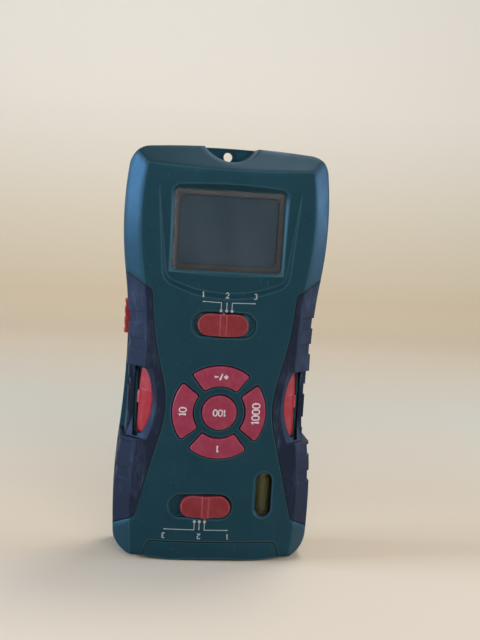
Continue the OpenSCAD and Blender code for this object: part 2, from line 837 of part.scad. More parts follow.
// Posts and screws
module posts(places, r, d0, d1) {
    for (p = places) translate([p[0], p[1], -d1]) cylinder(r = r, h = d1 - d0);
}
module front_shell() color(TEAL) front_view() {
    difference() {
        intersection() {
            union() {
                difference() {
                    skin();
                    hollow();
                }
                intersection() {
                    form(wall - sink / 2);
                    union() {
                        posts(shell_screw_at, post_r, 0, part_d);
                        posts(board_screw_at, board_post_r, 0, board_d);
                        slab(-pane_d - pane_t - ledge_t, 0) window_outline(frame_w);
                        posts(cradle_post_at, cradle_post_r, 0, vial_axis_d);
                    }
                }
            }
            slab(-part_d, above) square([4 * far, 4 * body_h], center = true);
        }
        dish();
        slab(-pane_d - pane_t, -pane_d) window_outline(fit);
        translate([0, window_z, 0])
            flared(window_w, window_h, window_r, -pane_d - 0.01, above / 2, window_flare);
        slab(-body_d, above) window_outline(-ledge_w);
        at_upper_slot() slot_cut();
        at_lower_slot() slot_cut();
        for (turn = [0:90:270])
            slab(-key_foot_d - over, above) at_keypad(turn) ring_key_outline(key_gap);
        slab(-key_foot_d - over, above) at_keypad(0)
            circle(d = hub_dia + 2 * key_gap, $fn = 96);
        translate([vial_x, vial_z, 0]) rotate(90) {
            slab(-part_d, above) stadium(sight_l, sight_w);
            flared(sight_l, sight_w, sight_w / 2, -slot_bevel - vial_dip, above / 2, 1);
        }
        both_sides() {
            squeeze_cut(key_gap);
            port_slot();
        }
        notch();
        cap_room(0);
        beam_ways();
        posts(shell_screw_at, pilot_r, pilot_d, part_d + over);
        posts(board_screw_at, board_pilot_r, board_pilot_d, board_d + over);
    }
}

// Rear shell with the battery bay
bay_w = battery_w + 2;
bay_h = battery_l + 12;
battery_z = bay_z + 4;
hook_x = 8;
hook_w = 5;
door_t = 2;
bay_wall = 1.4;
bay_rise = 9;
hook_h = 3;
hook_rise = 1.8;
hook_in = 0.1;
hook_gap = 0.5;
grip_r = 9;
grip_out = 5;
sensor_post_r = 2.2;
module bay_outline(g) {
    translate([-bay_w / 2 - g, bay_z - g]) square([bay_w + 2 * g, bay_h + 2 * g]);
}
module rear_shell() color(TEAL) front_view() {
    difference() {
        union() {
            intersection() {
                difference() {
                    skin();
                    hollow();
                }
                slab(-body_d - over, -part_d - seam) square([4 * far, 4 * body_h], center = true);
            }
            slab(wall - body_d - sink, wall - body_d + bay_rise) difference() {
                bay_outline(bay_wall);
                bay_outline(0);
                for (x = [-hook_x, hook_x])
                    translate([x - hook_w / 2 - hook_gap, bay_z - hook_h])
                        square([hook_w + 2 * hook_gap, hook_h + over]);
            }
            both_sides() spring_seat();
            trigger_rib();
            posts(shell_screw_at, post_r, part_d, body_d - wall + sink);
            posts(sensor_post_at, sensor_post_r, sensor_d + board_t, body_d - wall + sink);
        }
        slab(-body_d - over, wall - body_d + over) bay_outline(room);
        posts(shell_screw_at, screw_head_r + sink, screw_seat_d, body_d + over);
        posts(shell_screw_at, shank_r + room, 0, body_d);
        notch();
        hole();
        cap_room(0);
        beam_ways();
        trigger_cut(key_gap);
        both_sides() {
            squeeze_cut(key_gap);
            port_slot();
        }
    }
}
module battery_door() color(TEAL) front_view() {
    slab(-body_d, -body_d + door_t) difference() {
        bay_outline(0);
        translate([0, bay_z + bay_h + grip_out]) circle(r = grip_r);
    }
    for (x = [-hook_x, hook_x]) {
        translate([x - hook_w / 2, bay_z + hook_in, door_t - body_d - hook_in])
            cube([hook_w, hook_h, hook_rise]);
        translate([x - hook_w / 2, bay_z - hook_h / 2, wall - body_d + 2 * hook_in])
            cube([hook_w, hook_h * 1.5 + hook_in, door_t + hook_rise - wall - 3 * hook_in]);
    }
}
battery_low = wall - body_d + room;
terminal_x = 6.4;
terminal_r = 3.2;
terminal_h = 2.4;
module battery_top() {
    translate([0, battery_z + battery_l, battery_low + battery_t / 2]) rotate([-90, 0, 0]) children();
}
module battery() color("#33363a") front_view() {
    slab(battery_low, battery_low + battery_t)
        translate([-battery_w / 2, battery_z]) square([battery_w, battery_l]);
    both_sides() battery_top() translate([terminal_x, 0, 0]) cylinder(r = terminal_r, h = terminal_h);
}
snap_size = [25, 13];
module battery_snap() color("#202020") front_view() {
    battery_top() slab(terminal_h + 0.1, 2 * terminal_h + 0.1) difference() {
        square(snap_size, center = true);
        translate([0, 9]) circle(r = 4);
    }
}
// Board outline, up the left edge, over the head and down the right edge to the vial
head_edge = [[35, 128], [35, body_h - head_drop], [28, body_h - 12]];
waist_edge = [[19, 56], [19, 76], [26, 96], [30, 114]];
foot_edge = [[-26, 14], [-27, 20], [-26, 34]];
vial_corner = [vial_x - 5.8, vial_z + vial_l / 2 + above];
function flipped(p) = [for (q = p) [-q[0], q[1]]];
function backwards(p) = [for (i = [len(p) - 1:-1:0]) p[i]];
module main_board() color("#1f5a38") front_view() {
    difference() {
        slab(-board_d - board_t, -board_d)
            polygon(concat(foot_edge, flipped(waist_edge), flipped(head_edge),
                           backwards(head_edge), backwards(waist_edge),
                           [[21, 49], [21, vial_corner[1]], vial_corner, [vial_corner[0], 14]]));
        posts(board_screw_at, board_shank_r + 0.1, 0, body_d);
        posts(shell_screw_at, post_r + room, 0, body_d);
    }
}
board_head_r = 1.8;
board_head_t = 1.1;
module board_screws() color("silver") front_view() {
    back = board_d + board_t;
    posts(board_screw_at, board_shank_r, board_pilot_d + over, back + 0.01);
    posts(board_screw_at, board_head_r, back, back + board_head_t);
}
cross = [3.4, 0.7];
cross_d = 1.6;
module shell_screws() color("silver") front_view() {
    posts(shell_screw_at, shank_r, pilot_d + over, screw_seat_d + 0.01);
    difference() {
        posts(shell_screw_at, screw_head_r, screw_seat_d, screw_seat_d + screw_head_t);
        for (p = shell_screw_at) translate([p[0], p[1], -screw_seat_d - screw_head_t]) {
            cube([cross[0], cross[1], cross_d], center = true);
            cube([cross[1], cross[0], cross_d], center = true);
        }
    }
}
module display_window() color("#3c4650") front_view() {
    slab(-pane_d - pane_t, -pane_d) window_outline(0);
}
lcd_d = pane_d + pane_t + ledge_t + 0.1;
lcd_t = 2;
lcd_out = 0.6;
module lcd_panel() color("#59645f") front_view() {
    slab(-lcd_d - lcd_t, -lcd_d) window_outline(lcd_out);
}
module lcd_holder() color("#d8d8d2") front_view() {
    slab(-board_d, -lcd_d) difference() {
        window_outline(lcd_out + 1.4);
        window_outline(lcd_out + 0.2);
    }
    slab(-board_d, -lcd_d - lcd_t - 0.1) difference() {
        window_outline(lcd_out + 0.4);
        window_outline(-2 * ledge_w);
    }
}
module upper_selector() color(RED) front_view()
    at_upper_slot() translate([upper_knob_at, 0, 0]) knob();
module lower_selector() color(RED) front_view()
    at_lower_slot() translate([-knob_travel, 0, 0]) knob();
module upper_switch() color("silver") front_view() at_upper_slot() slide_switch();
module lower_switch() color("silver") front_view() at_lower_slot() slide_switch();
module centre_key() color(RED) front_view() {
    intersection() {
        slab(-key_foot_d, knob_proud) at_keypad(0) circle(d = hub_dia, $fn = 96);
        under_crown(-key_proud);
    }
    intersection() {
        difference() {
            slab(-key_foot_d, 0) at_keypad(0) circle(d = hub_dia + 2 * flange_g, $fn = 96);
            slab(-key_foot_d - over, -key_room_d) at_keypad(0) circle(d = hub_dia - 2 * key_rim);
        }
        under_crown(wall + seam);
    }
}
module top_key() ring_key(0);
module left_key() ring_key(90);
module bottom_key() ring_key(180);
module right_key() ring_key(270);
mat_w = 37.2;
dome_r = 2.6;
dome_d = key_foot_d + key_travel + 0.2;
module key_mat() color("#6b6b6b") front_view() {
    slab(-board_d, -mat_d) at_keypad(0) square(mat_w, center = true);
    for (turn = [0:90:270])
        slab(-mat_d, -dome_d) at_keypad(turn) translate([0, ring_r - ring_w / 2]) circle(r = dome_r);
    slab(-mat_d, -dome_d) at_keypad(0) circle(r = dome_r);
}
module right_squeeze_key() color(RED) front_view() squeeze_key();
module left_squeeze_key() color(RED) front_view() mirror([1, 0, 0]) squeeze_key();
module coil(r, wire, length, turns) {
    sides = 6;
    steps = 14;
    rings = turns * steps;
    pts = [for (i = [0:rings], k = [0:sides - 1])
        let (a = 360 * i / steps, b = 360 * k / sides, q = r + wire * cos(b))
        [q * cos(a), q * sin(a), wire + (length - 2 * wire) * i / rings + wire * sin(b)]];
    walls = [for (i = [0:rings - 1], k = [0:sides - 1])
        [i * sides + k, i * sides + (k + 1) % sides,
         (i + 1) * sides + (k + 1) % sides, (i + 1) * sides + k]];
    ends = [[for (k = [sides - 1:-1:0]) k], [for (k = [0:sides - 1]) rings * sides + k]];
    polyhedron(pts, concat([for (w = walls) [w[3], w[2], w[1], w[0]]],
                           [for (e = ends) [for (k = [sides - 1:-1:0]) e[k]]]));
}
module key_spring() {
    squeeze_frame() translate([0, 0, -squeeze_back - spring_l + spring_gap])
        coil(spring_r, spring_wire, spring_l - 2 * spring_gap, spring_turns);
}
module right_key_spring() color("silver") front_view() key_spring();
module left_key_spring() color("silver") front_view() mirror([1, 0, 0]) key_spring();

vial_axis_d = wall + vial_under + vial_dia / 2;
vial_end = 1.2;
bubble_r = 2.2;
bubble_at = 5;
cradle_w = 10.8;
cradle_t = 1.2;
cradle_end = 3.5;
cradle_post_r = 1.8;
cradle_post_at = [for (s = [-1, 1]) [vial_x, vial_z + s * (sight_l / 2 + 4.6)]];
vial_bore_r = vial_dia / 2 - 0.9;
module vial_axis(z) {
    translate([vial_x, z, -vial_axis_d]) rotate([-90, 0, 0]) children();
}
module vial_tube() color("#c9d3a0") front_view() {
    difference() {
        vial_axis(vial_z - vial_l / 2) cylinder(d = vial_dia, h = vial_l);
        vial_axis(vial_z - vial_l / 2 + vial_end)
            cylinder(r = vial_bore_r, h = vial_l - 2 * vial_end);
    }
}
module vial_fluid() color("#6f7a2a") front_view() {
    difference() {
        vial_axis(vial_z - vial_l / 2 + vial_end + 0.05)
            cylinder(r = vial_bore_r - 0.03, h = vial_l - 2 * vial_end - 0.1);
        vial_axis(vial_z + vial_l / 2 - bubble_at) sphere(r = bubble_r);
    }
}
module vial_cradle() color("#2a2a2a") front_view() {
    difference() {
        translate([vial_x - cradle_w / 2, vial_z - vial_l / 2 - cradle_end,
                   -vial_axis_d - vial_dia / 2 - cradle_t])
            cube([cradle_w, vial_l + 2 * cradle_end, vial_dia / 2 + cradle_t]);
        vial_axis(vial_z - vial_l / 2 - 0.1) cylinder(d = vial_dia + 0.1, h = vial_l + 0.2);
    }
}
buzzer_r = 6;
buzzer_t = 3.4;
module buzzer() color("#1a1a1a") front_view() {
    posts([[20, upper_slot_z + 9]], buzzer_r, board_d + board_t, board_d + board_t + buzzer_t);
}
sensor_d = body_d - wall - 4;
sensor_drop = 35;
sensor_post_at = [for (x = [-24, 24], z = [-15, 15]) [x, body_h - sensor_drop + z]];
sensor_size = [58, 38];
coil_out_r = 15;
coil_in_r = 11;
coil_t = 2.4;
module sensor_board() color("#1f5a38") front_view() {
    slab(-sensor_d - board_t, -sensor_d)
        translate([0, body_h - sensor_drop]) square(sensor_size, center = true);
}
module sensor_coil() color("#9a5a2a") front_view() {
    slab(-sensor_d, coil_t - sensor_d) translate([0, body_h - sensor_drop]) difference() {
        circle(r = coil_out_r);
        circle(r = coil_in_r);
    }
}
module sound_horn() color("#303438") front_view() horn_axis() {
    difference() {
        translate([0, 0, cap_floor])
            cylinder(r1 = horn_mouth_r + horn_wall, r2 = horn_throat_r + horn_wall, h = horn_h);
        translate([0, 0, cap_floor - 0.1])
            cylinder(r1 = horn_mouth_r, r2 = horn_throat_r - horn_wall, h = horn_h + 0.2);
    }
}
grille_t = 1;
grille_slot = 1;
grille_rim = 1.5;
function grille_half(x) = sqrt(pow(horn_mouth_r - grille_rim, 2) - x * x);
module horn_grille() color("#202020") front_view() horn_axis() {
    difference() {
        translate([0, 0, cap_floor - 1.5 * grille_t]) cylinder(r = horn_mouth_r, h = grille_t);
        for (x = [-6:2 * grille_slot:6])
            translate([x - grille_slot / 2, -grille_half(x), 0])
                cube([grille_slot, 2 * grille_half(x), 2 * cap_floor]);
    }
}
module transducer() color("#b8b8b4") front_view() horn_axis() {
    translate([0, 0, cap_floor + horn_h + 0.2])
        cylinder(r = transducer_r, h = transducer_h);
}
module laser_module() color("#b9995a") front_view() laser_axis() {
    difference() {
        translate([0, 0, cap_floor + 0.1]) cylinder(r = laser_r, h = laser_l);
        translate([0, 0, cap_floor]) cylinder(r = laser_bore_r, h = above);
    }
}
module laser_window() color("#4a1018") front_view() laser_axis() {
    translate([0, 0, cap_floor + 0.05 - laser_pane_t])
        cylinder(r = laser_pane_r, h = laser_pane_t);
}

front_shell();
rear_shell();
end_cap();
left_grip();
right_grip();
display_window();
lcd_panel();
lcd_holder();
upper_selector();
lower_selector();
upper_switch();
lower_switch();
centre_key();
top_key();
right_key();
bottom_key();
left_key();
key_mat();
left_squeeze_key();
right_squeeze_key();
left_key_spring();
right_key_spring();
side_trigger();
trigger_switch();
vial_tube();
vial_fluid();
vial_cradle();
main_board();
board_screws();
buzzer();
sensor_board();
sensor_coil();
sound_horn();
horn_grille();
transducer();
laser_module();
laser_window();
battery();
battery_snap();
battery_door();
shell_screws();
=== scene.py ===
import math

import bmesh
import bpy
from mathutils import Matrix, Vector
from mathutils.bvhtree import BVHTree


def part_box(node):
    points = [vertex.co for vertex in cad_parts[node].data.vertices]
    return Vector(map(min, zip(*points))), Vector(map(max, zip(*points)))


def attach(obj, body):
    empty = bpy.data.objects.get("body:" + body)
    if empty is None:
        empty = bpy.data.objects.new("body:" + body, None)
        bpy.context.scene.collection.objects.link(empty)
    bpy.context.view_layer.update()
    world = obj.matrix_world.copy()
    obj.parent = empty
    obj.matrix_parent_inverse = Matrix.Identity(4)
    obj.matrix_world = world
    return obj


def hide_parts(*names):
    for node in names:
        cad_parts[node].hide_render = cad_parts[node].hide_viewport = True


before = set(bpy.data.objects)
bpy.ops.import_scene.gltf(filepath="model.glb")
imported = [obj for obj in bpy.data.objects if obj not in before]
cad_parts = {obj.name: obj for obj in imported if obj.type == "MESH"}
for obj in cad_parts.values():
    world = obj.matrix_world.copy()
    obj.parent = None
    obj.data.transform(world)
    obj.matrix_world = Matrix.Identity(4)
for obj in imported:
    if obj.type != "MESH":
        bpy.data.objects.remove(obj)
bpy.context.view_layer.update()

# Rear shell, with the plate that carries the marking hole.
# Injection-moulded ABS in dark teal, from a steel tool whose faces were eroded by sparks.
# Four screws from behind hold it to the front shell.
MM = 0.001
TEAL, TEAL_RUBBED, TEAL_EDGE, TEAL_MARK = "17323b", "34525e", "4a6f7c", "66808a"
SHEEN = (0.14, 0.55, 1.0, 1.0)
GRAIN, GRAIN_DEEP = 0.38, 0.03
EDGE_ROUND, RIM_ROUND = 0.35, 3.6
RIM_X, RIM_Z, RIM_BLEND = 30.0, 161.0, 2.0
EDGE_WEAR_AND_HIGHLIGHT = 1.0
LIP, LIP_SOFT, LIP_FADE, LIP_DEEP = 1.25, 0.3, 5.0, 0.4


def linear(hexcode):
    """An sRGB hex value as a linear colour with full opacity."""
    parts = [int(hexcode[i:i + 2], 16) / 255 for i in (0, 2, 4)]
    return (*(c / 12.92 if c <= 0.04045 else ((c + 0.055) / 1.055) ** 2.4 for c in parts), 1.0)


def wire(node, inputs):
    """Sets inputs of a node: each to a constant, a socket, or another node's first output."""
    sockets = {s.name: s for s in reversed(node.inputs) if s.enabled}
    for key, value in inputs.items():
        socket = node.inputs[key] if isinstance(key, int) else sockets[key]
        if isinstance(value, bpy.types.Node):
            value = next(s for s in value.outputs if s.enabled)
        if isinstance(value, bpy.types.NodeSocket):
            node.id_data.links.new(value, socket)
        else:
            socket.default_value = value


def add(tree, kind, settings={}, inputs={}):
    """Adds a shader node with its settings and links."""
    made = tree.nodes.new("ShaderNode" + kind)
    for name, value in settings.items():
        setattr(made, name, value)
    wire(made, inputs)
    return made


def finish_of(name, **constants):
    """A new material: itself, its node tree, its surface, and the place on the piece in metres."""
    made = bpy.data.materials.new(name)
    made.use_nodes = True
    surface = made.node_tree.nodes["Principled BSDF"]
    wire(surface, {key.replace("_", " "): value for key, value in constants.items()})
    return made, made.node_tree, surface, add(made.node_tree, "TexCoord").outputs["Object"]


def give(material, *names):
    """Gives CAD nodes their material."""
    for name in names:
        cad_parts[name].data.materials.clear()
        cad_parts[name].data.materials.append(material)


# Spark-eroded ABS: matt, with a grain that glitters where light grazes it, soft moulded
# edges, and the fine hairlines, specks and rubbed patches of a tool that lives in a bag. Its
# gloss is bluish. The grain of such a skin is finer than this, and is drawn as coarse as shows.
abs_plastic, tree, surface, spot = finish_of("teal_abs_spark_eroded", IOR=1.53,
                                             Specular_IOR_Level=0.44, Specular_Tint=SHEEN)
parts = add(tree, "SeparateXYZ", {}, {0: spot})
out_x = add(tree, "Math", {"operation": "ABSOLUTE"}, {0: parts.outputs["X"]})
near_side, near_top = [add(tree, "MapRange", {}, {
    "Value": out, "From Min": (rim - RIM_BLEND) * MM, "From Max": (rim + RIM_BLEND) * MM,
    "To Min": EDGE_ROUND * MM, "To Max": RIM_ROUND * MM})
    for out, rim in ((out_x, RIM_X), (parts.outputs["Z"], RIM_Z))]
edge_size = add(tree, "Math", {"operation": "MAXIMUM"}, {0: near_side, 1: near_top})
rounded_edge = add(tree, "Bevel", {"samples": 6}, {"Radius": edge_size})
grain = add(tree, "TexNoise", {}, {"Vector": spot, "Scale": 1 / (GRAIN * MM), "Detail": 3.0})
pitted = add(tree, "Bump", {}, {"Strength": 1.0, "Distance": GRAIN_DEEP * MM, "Height": grain,
                                "Normal": rounded_edge})
blotch = add(tree, "TexNoise", {}, {"Vector": spot, "Scale": 1 / (14 * MM), "Detail": 4.0})
rubbed = add(tree, "MapRange", {}, {"Value": blotch, "From Min": 0.35, "From Max": 0.7,
                                    "To Min": 0.5, "To Max": 0.38})
glitter = add(tree, "MapRange", {}, {"Value": grain, "From Min": 0.3, "From Max": 0.7,
                                     "To Min": -0.05, "To Max": 0.05})
gloss = add(tree, "Math", {"operation": "ADD"}, {0: rubbed, 1: glitter})
tint = add(tree, "Mix", {"data_type": "RGBA"}, {
    "Factor": add(tree, "MapRange", {}, {"Value": blotch, "From Min": 0.3, "From Max": 0.75,
                                         "To Max": 0.16}),
    "A": linear(TEAL), "B": linear(TEAL_RUBBED)})
hairs = add(tree, "TexNoise", {}, {
    "Vector": add(tree, "Mapping", {}, {"Vector": spot, "Rotation": (0.3, 0.5, 0.4),
                                        "Scale": (1.0, 1.0, 0.035)}),
    "Scale": 1 / (0.4 * MM), "Detail": 1.0})
hair_area = add(tree, "MapRange", {}, {
    "Value": add(tree, "TexNoise", {}, {"Vector": spot, "Scale": 1 / (21 * MM), "Detail": 2.0}),
    "From Min": 0.54, "From Max": 0.68, "To Max": 0.28})
hairline = add(tree, "Math", {"operation": "MULTIPLY"}, {
    0: add(tree, "MapRange", {}, {"Value": hairs, "From Min": 0.69, "From Max": 0.74}),
    1: hair_area})
specks = add(tree, "TexVoronoi", {}, {"Vector": spot, "Scale": 1 / (2.6 * MM)})
chosen = add(tree, "SeparateColor", {}, {0: specks.outputs["Color"]})
speck = add(tree, "Math", {"operation": "MULTIPLY"}, {
    0: add(tree, "MapRange", {}, {"Value": specks.outputs["Distance"], "From Min": 0.09,
                                  "From Max": 0.05, "To Max": 0.55}),
    1: add(tree, "Math", {"operation": "GREATER_THAN"}, {0: chosen, 1: 0.72})})
marked = add(tree, "Math", {"operation": "MAXIMUM"}, {0: hairline, 1: speck})
# the edges are drawn paler, partly as rubbed wear and partly as a painted highlight where the
# moulded edges catch the light
turned = add(tree, "VectorMath", {"operation": "DOT_PRODUCT"}, {
    0: add(tree, "Bevel", {"samples": 4}, {"Radius": EDGE_WEAR_AND_HIGHLIGHT * MM}),
    1: add(tree, "NewGeometry").outputs["Normal"]})
worn_and_highlit_edge = add(tree, "MapRange", {}, {"Value": turned.outputs["Value"], "From Min": 0.992,
                                  "From Max": 0.93, "To Max": 0.6})
# the lip round the display is painted paler along its two sides and its lower edge, fading towards
# the top: a painted highlight where light catches it
pane_low, pane_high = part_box("display_window")
from_pane = add(tree, "SeparateXYZ", {}, {0: add(tree, "VectorMath", {"operation": "ABSOLUTE"}, {
    0: add(tree, "VectorMath", {"operation": "SUBTRACT"}, {
        0: spot, 1: (pane_low + pane_high) / 2})})})
past_pane = add(tree, "Math", {"operation": "MAXIMUM"}, {
    i: add(tree, "Math", {"operation": "SUBTRACT"}, {
        0: from_pane.outputs["XZ"[i]], 1: (pane_high - pane_low)[2 * i] / 2}) for i in (0, 1)})
lip_highlight = add(tree, "Math", {"operation": "MULTIPLY"}, {
    0: add(tree, "MapRange", {}, {"Value": past_pane, "From Min": LIP * MM,
                                  "From Max": (LIP - LIP_SOFT) * MM, "To Max": 0.6}),
    1: add(tree, "MapRange", {}, {"Value": parts.outputs["Z"], "From Min": pane_high.z,
                                  "From Max": pane_high.z - LIP_FADE * MM})})
front_only = add(tree, "Math", {"operation": "LESS_THAN"}, {
    0: parts.outputs["Y"], 1: pane_low.y + LIP_DEEP * MM})
# the paler edge colour holds the painted highlight of the lip and the edge wear together
bright_edge = add(tree, "Math", {"operation": "MAXIMUM"}, {
    0: worn_and_highlit_edge, 1: add(tree, "Math", {"operation": "MULTIPLY"}, {0: lip_highlight, 1: front_only})})
wire(surface, {
    "Base Color": add(tree, "Mix", {"data_type": "RGBA"}, {
        "Factor": marked, "B": linear(TEAL_MARK), "A": add(tree, "Mix", {"data_type": "RGBA"}, {
            "Factor": bright_edge, "A": tint, "B": linear(TEAL_EDGE)})}),
    "Roughness": gloss, "Normal": pitted})
give(abs_plastic, "rear_shell")

# Nine-volt battery and its snap connector.
# A steel jacket with a plain black sleeve and a bare band at its head; the snap is black
# vinyl over a fibre board, pressed on the two terminals.
SLEEVE_SHARE = 0.68
battery_low, battery_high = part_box("battery")
SLEEVE_END = battery_low.z + SLEEVE_SHARE * (battery_high.z - battery_low.z)
# Varnished steel sleeve: smooth and glossy, with a straight edge where the bare metal starts.
jacket, tree, surface, spot = finish_of("battery_jacket_varnished_steel", Coat_Weight=0.4)
above = add(tree, "Math", {"operation": "GREATER_THAN"}, {
    0: add(tree, "SeparateXYZ", {}, {0: spot}).outputs["Z"], 1: SLEEVE_END})
drawn = add(tree, "TexNoise", {}, {
    "Vector": add(tree, "Mapping", {}, {"Vector": spot, "Scale": (1.0, 1.0, 0.03)}),
    "Scale": 1 / (0.5 * MM), "Detail": 2.0})
wire(surface, {
    "Base Color": add(tree, "Mix", {"data_type": "RGBA"}, {
        "Factor": above, "A": linear("1b1c1f"), "B": linear("b08d57")}),
    "Metallic": above,
    "Roughness": add(tree, "MapRange", {}, {"Value": drawn, "To Min": 0.26, "To Max": 0.42})})
give(jacket, "battery")

# Black vinyl: soft sheen and a faint orange-peel skin.
vinyl, tree, surface, spot = finish_of("black_vinyl_moulded", Base_Color=linear("17181a"),
                                       IOR=1.52)
peel = add(tree, "TexNoise", {}, {"Vector": spot, "Scale": 1 / (0.8 * MM), "Detail": 2.0})
wire(surface, {
    "Roughness": add(tree, "MapRange", {}, {"Value": peel, "To Min": 0.4, "To Max": 0.6}),
    "Normal": add(tree, "Bump", {}, {"Distance": 0.03 * MM, "Height": peel})})
give(vinyl, "battery_snap")

# Battery door.
# The same teal ABS, hooked under the shell at its lower edge and held by a snap at the top.
give(abs_plastic, "battery_door")

# Sensor board and its search coil, behind the head.
# Glass-epoxy laminate with green solder mask, on four posts; the coil is enamelled copper wire
# wound flat and glued down.
# Solder mask: satin green over copper tracks that show as paler lines two millimetres apart.
board, tree, surface, spot = finish_of("circuit_board_solder_mask", Roughness=0.32, Coat_Weight=0.3)
tracks = add(tree, "TexBrick", {"offset": 0.37, "squash": 0.6}, {
    "Vector": add(tree, "Mapping", {}, {"Vector": spot, "Rotation": (math.pi / 2, 0, 0)}),
    "Scale": 1 / (4 * MM), "Mortar Size": 0.05, "Mortar Smooth": 0.1, "Brick Width": 0.9,
    "Row Height": 0.5, "Color1": linear("1b4a30"), "Color2": linear("1f5236"),
    "Mortar": linear("2f6e48")})
weave = add(tree, "TexNoise", {}, {"Vector": spot, "Scale": 1 / (0.6 * MM), "Detail": 2.0})
wire(surface, {
    "Base Color": add(tree, "Mix", {"data_type": "RGBA", "blend_type": "MULTIPLY"}, {
        "Factor": 0.25, "A": tracks, "B": weave.outputs["Color"]}),
    "Normal": add(tree, "Bump", {}, {"Distance": 0.02 * MM, "Height": tracks.outputs["Fac"]})})
give(board, "sensor_board", "main_board")

# Enamelled copper: warm metal, ribbed by its turns of wire.
copper, tree, surface, spot = finish_of("copper_wire_enamelled", Metallic=1.0, Roughness=0.3,
                                        Base_Color=linear("b8683f"))
COIL_WIRE = 0.4
coil_low, coil_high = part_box("sensor_coil")
turns = add(tree, "TexWave", {"wave_type": "RINGS", "rings_direction": "SPHERICAL"}, {
    "Vector": add(tree, "VectorMath", {"operation": "SUBTRACT"}, {
        0: spot, 1: (coil_low + coil_high) / 2}), "Scale": 0.05 / (COIL_WIRE * MM)})
wire(surface, {"Normal": add(tree, "Bump", {}, {"Distance": 0.15 * MM, "Height": turns})})
give(copper, "sensor_coil")

# Main board with its screws, the buzzer, and the switches under the selectors and the trigger.
# The board hangs from four posts of the front shell by small self-tapping screws; the buzzer
# is a moulded can and the slide switches are folded from tinned steel.
# Zinc-plated steel: pale, slightly blotchy metal that is a little rough from the bath.
zinc, tree, surface, spot = finish_of("steel_zinc_plated", Metallic=1.0,
                                      Base_Color=linear("b9bcc0"))
bath = add(tree, "TexNoise", {}, {"Vector": spot, "Scale": 1 / (0.7 * MM), "Detail": 4.0})
wire(surface, {
    "Roughness": add(tree, "MapRange", {}, {"Value": bath, "From Min": 0.3, "From Max": 0.7,
                                            "To Min": 0.24, "To Max": 0.44}),
    "Normal": add(tree, "Bump", {}, {"Distance": 0.01 * MM, "Height": bath})})
give(zinc, "board_screws", "upper_switch", "lower_switch")

# Glass-filled nylon: dull black, speckled by fibres near the skin.
nylon, tree, surface, spot = finish_of("black_nylon_glass_filled", IOR=1.53)
fibres = add(tree, "TexNoise", {}, {
    "Vector": add(tree, "Mapping", {}, {"Vector": spot, "Scale": (1.0, 0.2, 1.0)}),
    "Scale": 1 / (0.25 * MM), "Detail": 2.0})
wire(surface, {
    "Base Color": add(tree, "Mix", {"data_type": "RGBA"}, {
        "Factor": add(tree, "MapRange", {}, {"Value": fibres, "From Min": 0.55, "From Max": 0.7,
                                             "To Max": 0.3}),
        "A": linear("131416"), "B": linear("3a3d40")}),
    "Roughness": add(tree, "MapRange", {}, {"Value": fibres, "To Min": 0.42, "To Max": 0.62})})
give(nylon, "buzzer", "trigger_switch", "vial_cradle", "sound_horn")

# Liquid crystal panel and the white frame that spaces it off the board.
# Two sheets of glass with a grey polariser; the frame is white polystyrene.
panel_low, panel_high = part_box("lcd_panel")
panel_mid = (panel_low + panel_high) / 2
VIEW_HALF = (20.3, 14.2)
VIEW_SOFT = 0.5
# Polarised glass: dark slate, a shade paler inside the viewing area, and dead smooth.
lcd_glass, tree, surface, spot = finish_of("liquid_crystal_glass", Roughness=0.18, IOR=1.52)
from_mid = add(tree, "SeparateXYZ", {}, {0: add(tree, "VectorMath", {"operation": "SUBTRACT"}, {
    0: spot, 1: panel_mid})})
beyond = [add(tree, "MapRange", {}, {
    "Value": add(tree, "Math", {"operation": "ABSOLUTE"}, {0: from_mid.outputs[axis]}),
    "From Min": (half - VIEW_SOFT) * MM, "From Max": (half + VIEW_SOFT) * MM})
    for axis, half in zip("XZ", VIEW_HALF)]
border = add(tree, "Math", {"operation": "MAXIMUM"}, {0: beyond[0], 1: beyond[1]})
cells = add(tree, "TexNoise", {}, {"Vector": spot, "Scale": 1 / (18 * MM), "Detail": 2.0})
field = add(tree, "Mix", {"data_type": "RGBA"}, {
    "Factor": add(tree, "MapRange", {}, {"Value": cells, "From Min": 0.35, "From Max": 0.65}),
    "A": linear("26394b"), "B": linear("293e50")})
wire(surface, {"Base Color": add(tree, "Mix", {"data_type": "RGBA"}, {
    "Factor": border, "A": field, "B": linear("1d272f")})})
give(lcd_glass, "lcd_panel")

# White polystyrene: slightly glossy and a little uneven in tone.
styrene, tree, surface, spot = finish_of("white_polystyrene_moulded", IOR=1.59)
flow = add(tree, "TexNoise", {}, {"Vector": spot, "Scale": 1 / (6 * MM), "Detail": 3.0})
wire(surface, {
    "Base Color": add(tree, "Mix", {"data_type": "RGBA"}, {
        "Factor": flow, "A": linear("d9dad4"), "B": linear("c9cbc6")}),
    "Roughness": add(tree, "MapRange", {}, {"Value": flow, "To Min": 0.3, "To Max": 0.45})})
give(styrene, "lcd_holder")

# Ultrasonic transducer, its grille, and the line laser with its window, in the foot.
# A drawn aluminium can pushed on the throat of the moulded horn, and a turned brass barrel
# with a red filter in front.
# Drawn aluminium: soft grey metal with fine lines along the draw.
aluminium, tree, surface, spot = finish_of("aluminium_drawn", Metallic=1.0,
                                           Base_Color=linear("b4b6b8"))
drawn = add(tree, "TexNoise", {}, {
    "Vector": add(tree, "Mapping", {}, {"Vector": spot, "Scale": (1.0, 1.0, 0.04)}),
    "Scale": 1 / (0.3 * MM), "Detail": 2.0})
wire(surface, {"Roughness": add(tree, "MapRange", {}, {
    "Value": drawn, "To Min": 0.25, "To Max": 0.5})})
give(aluminium, "transducer")

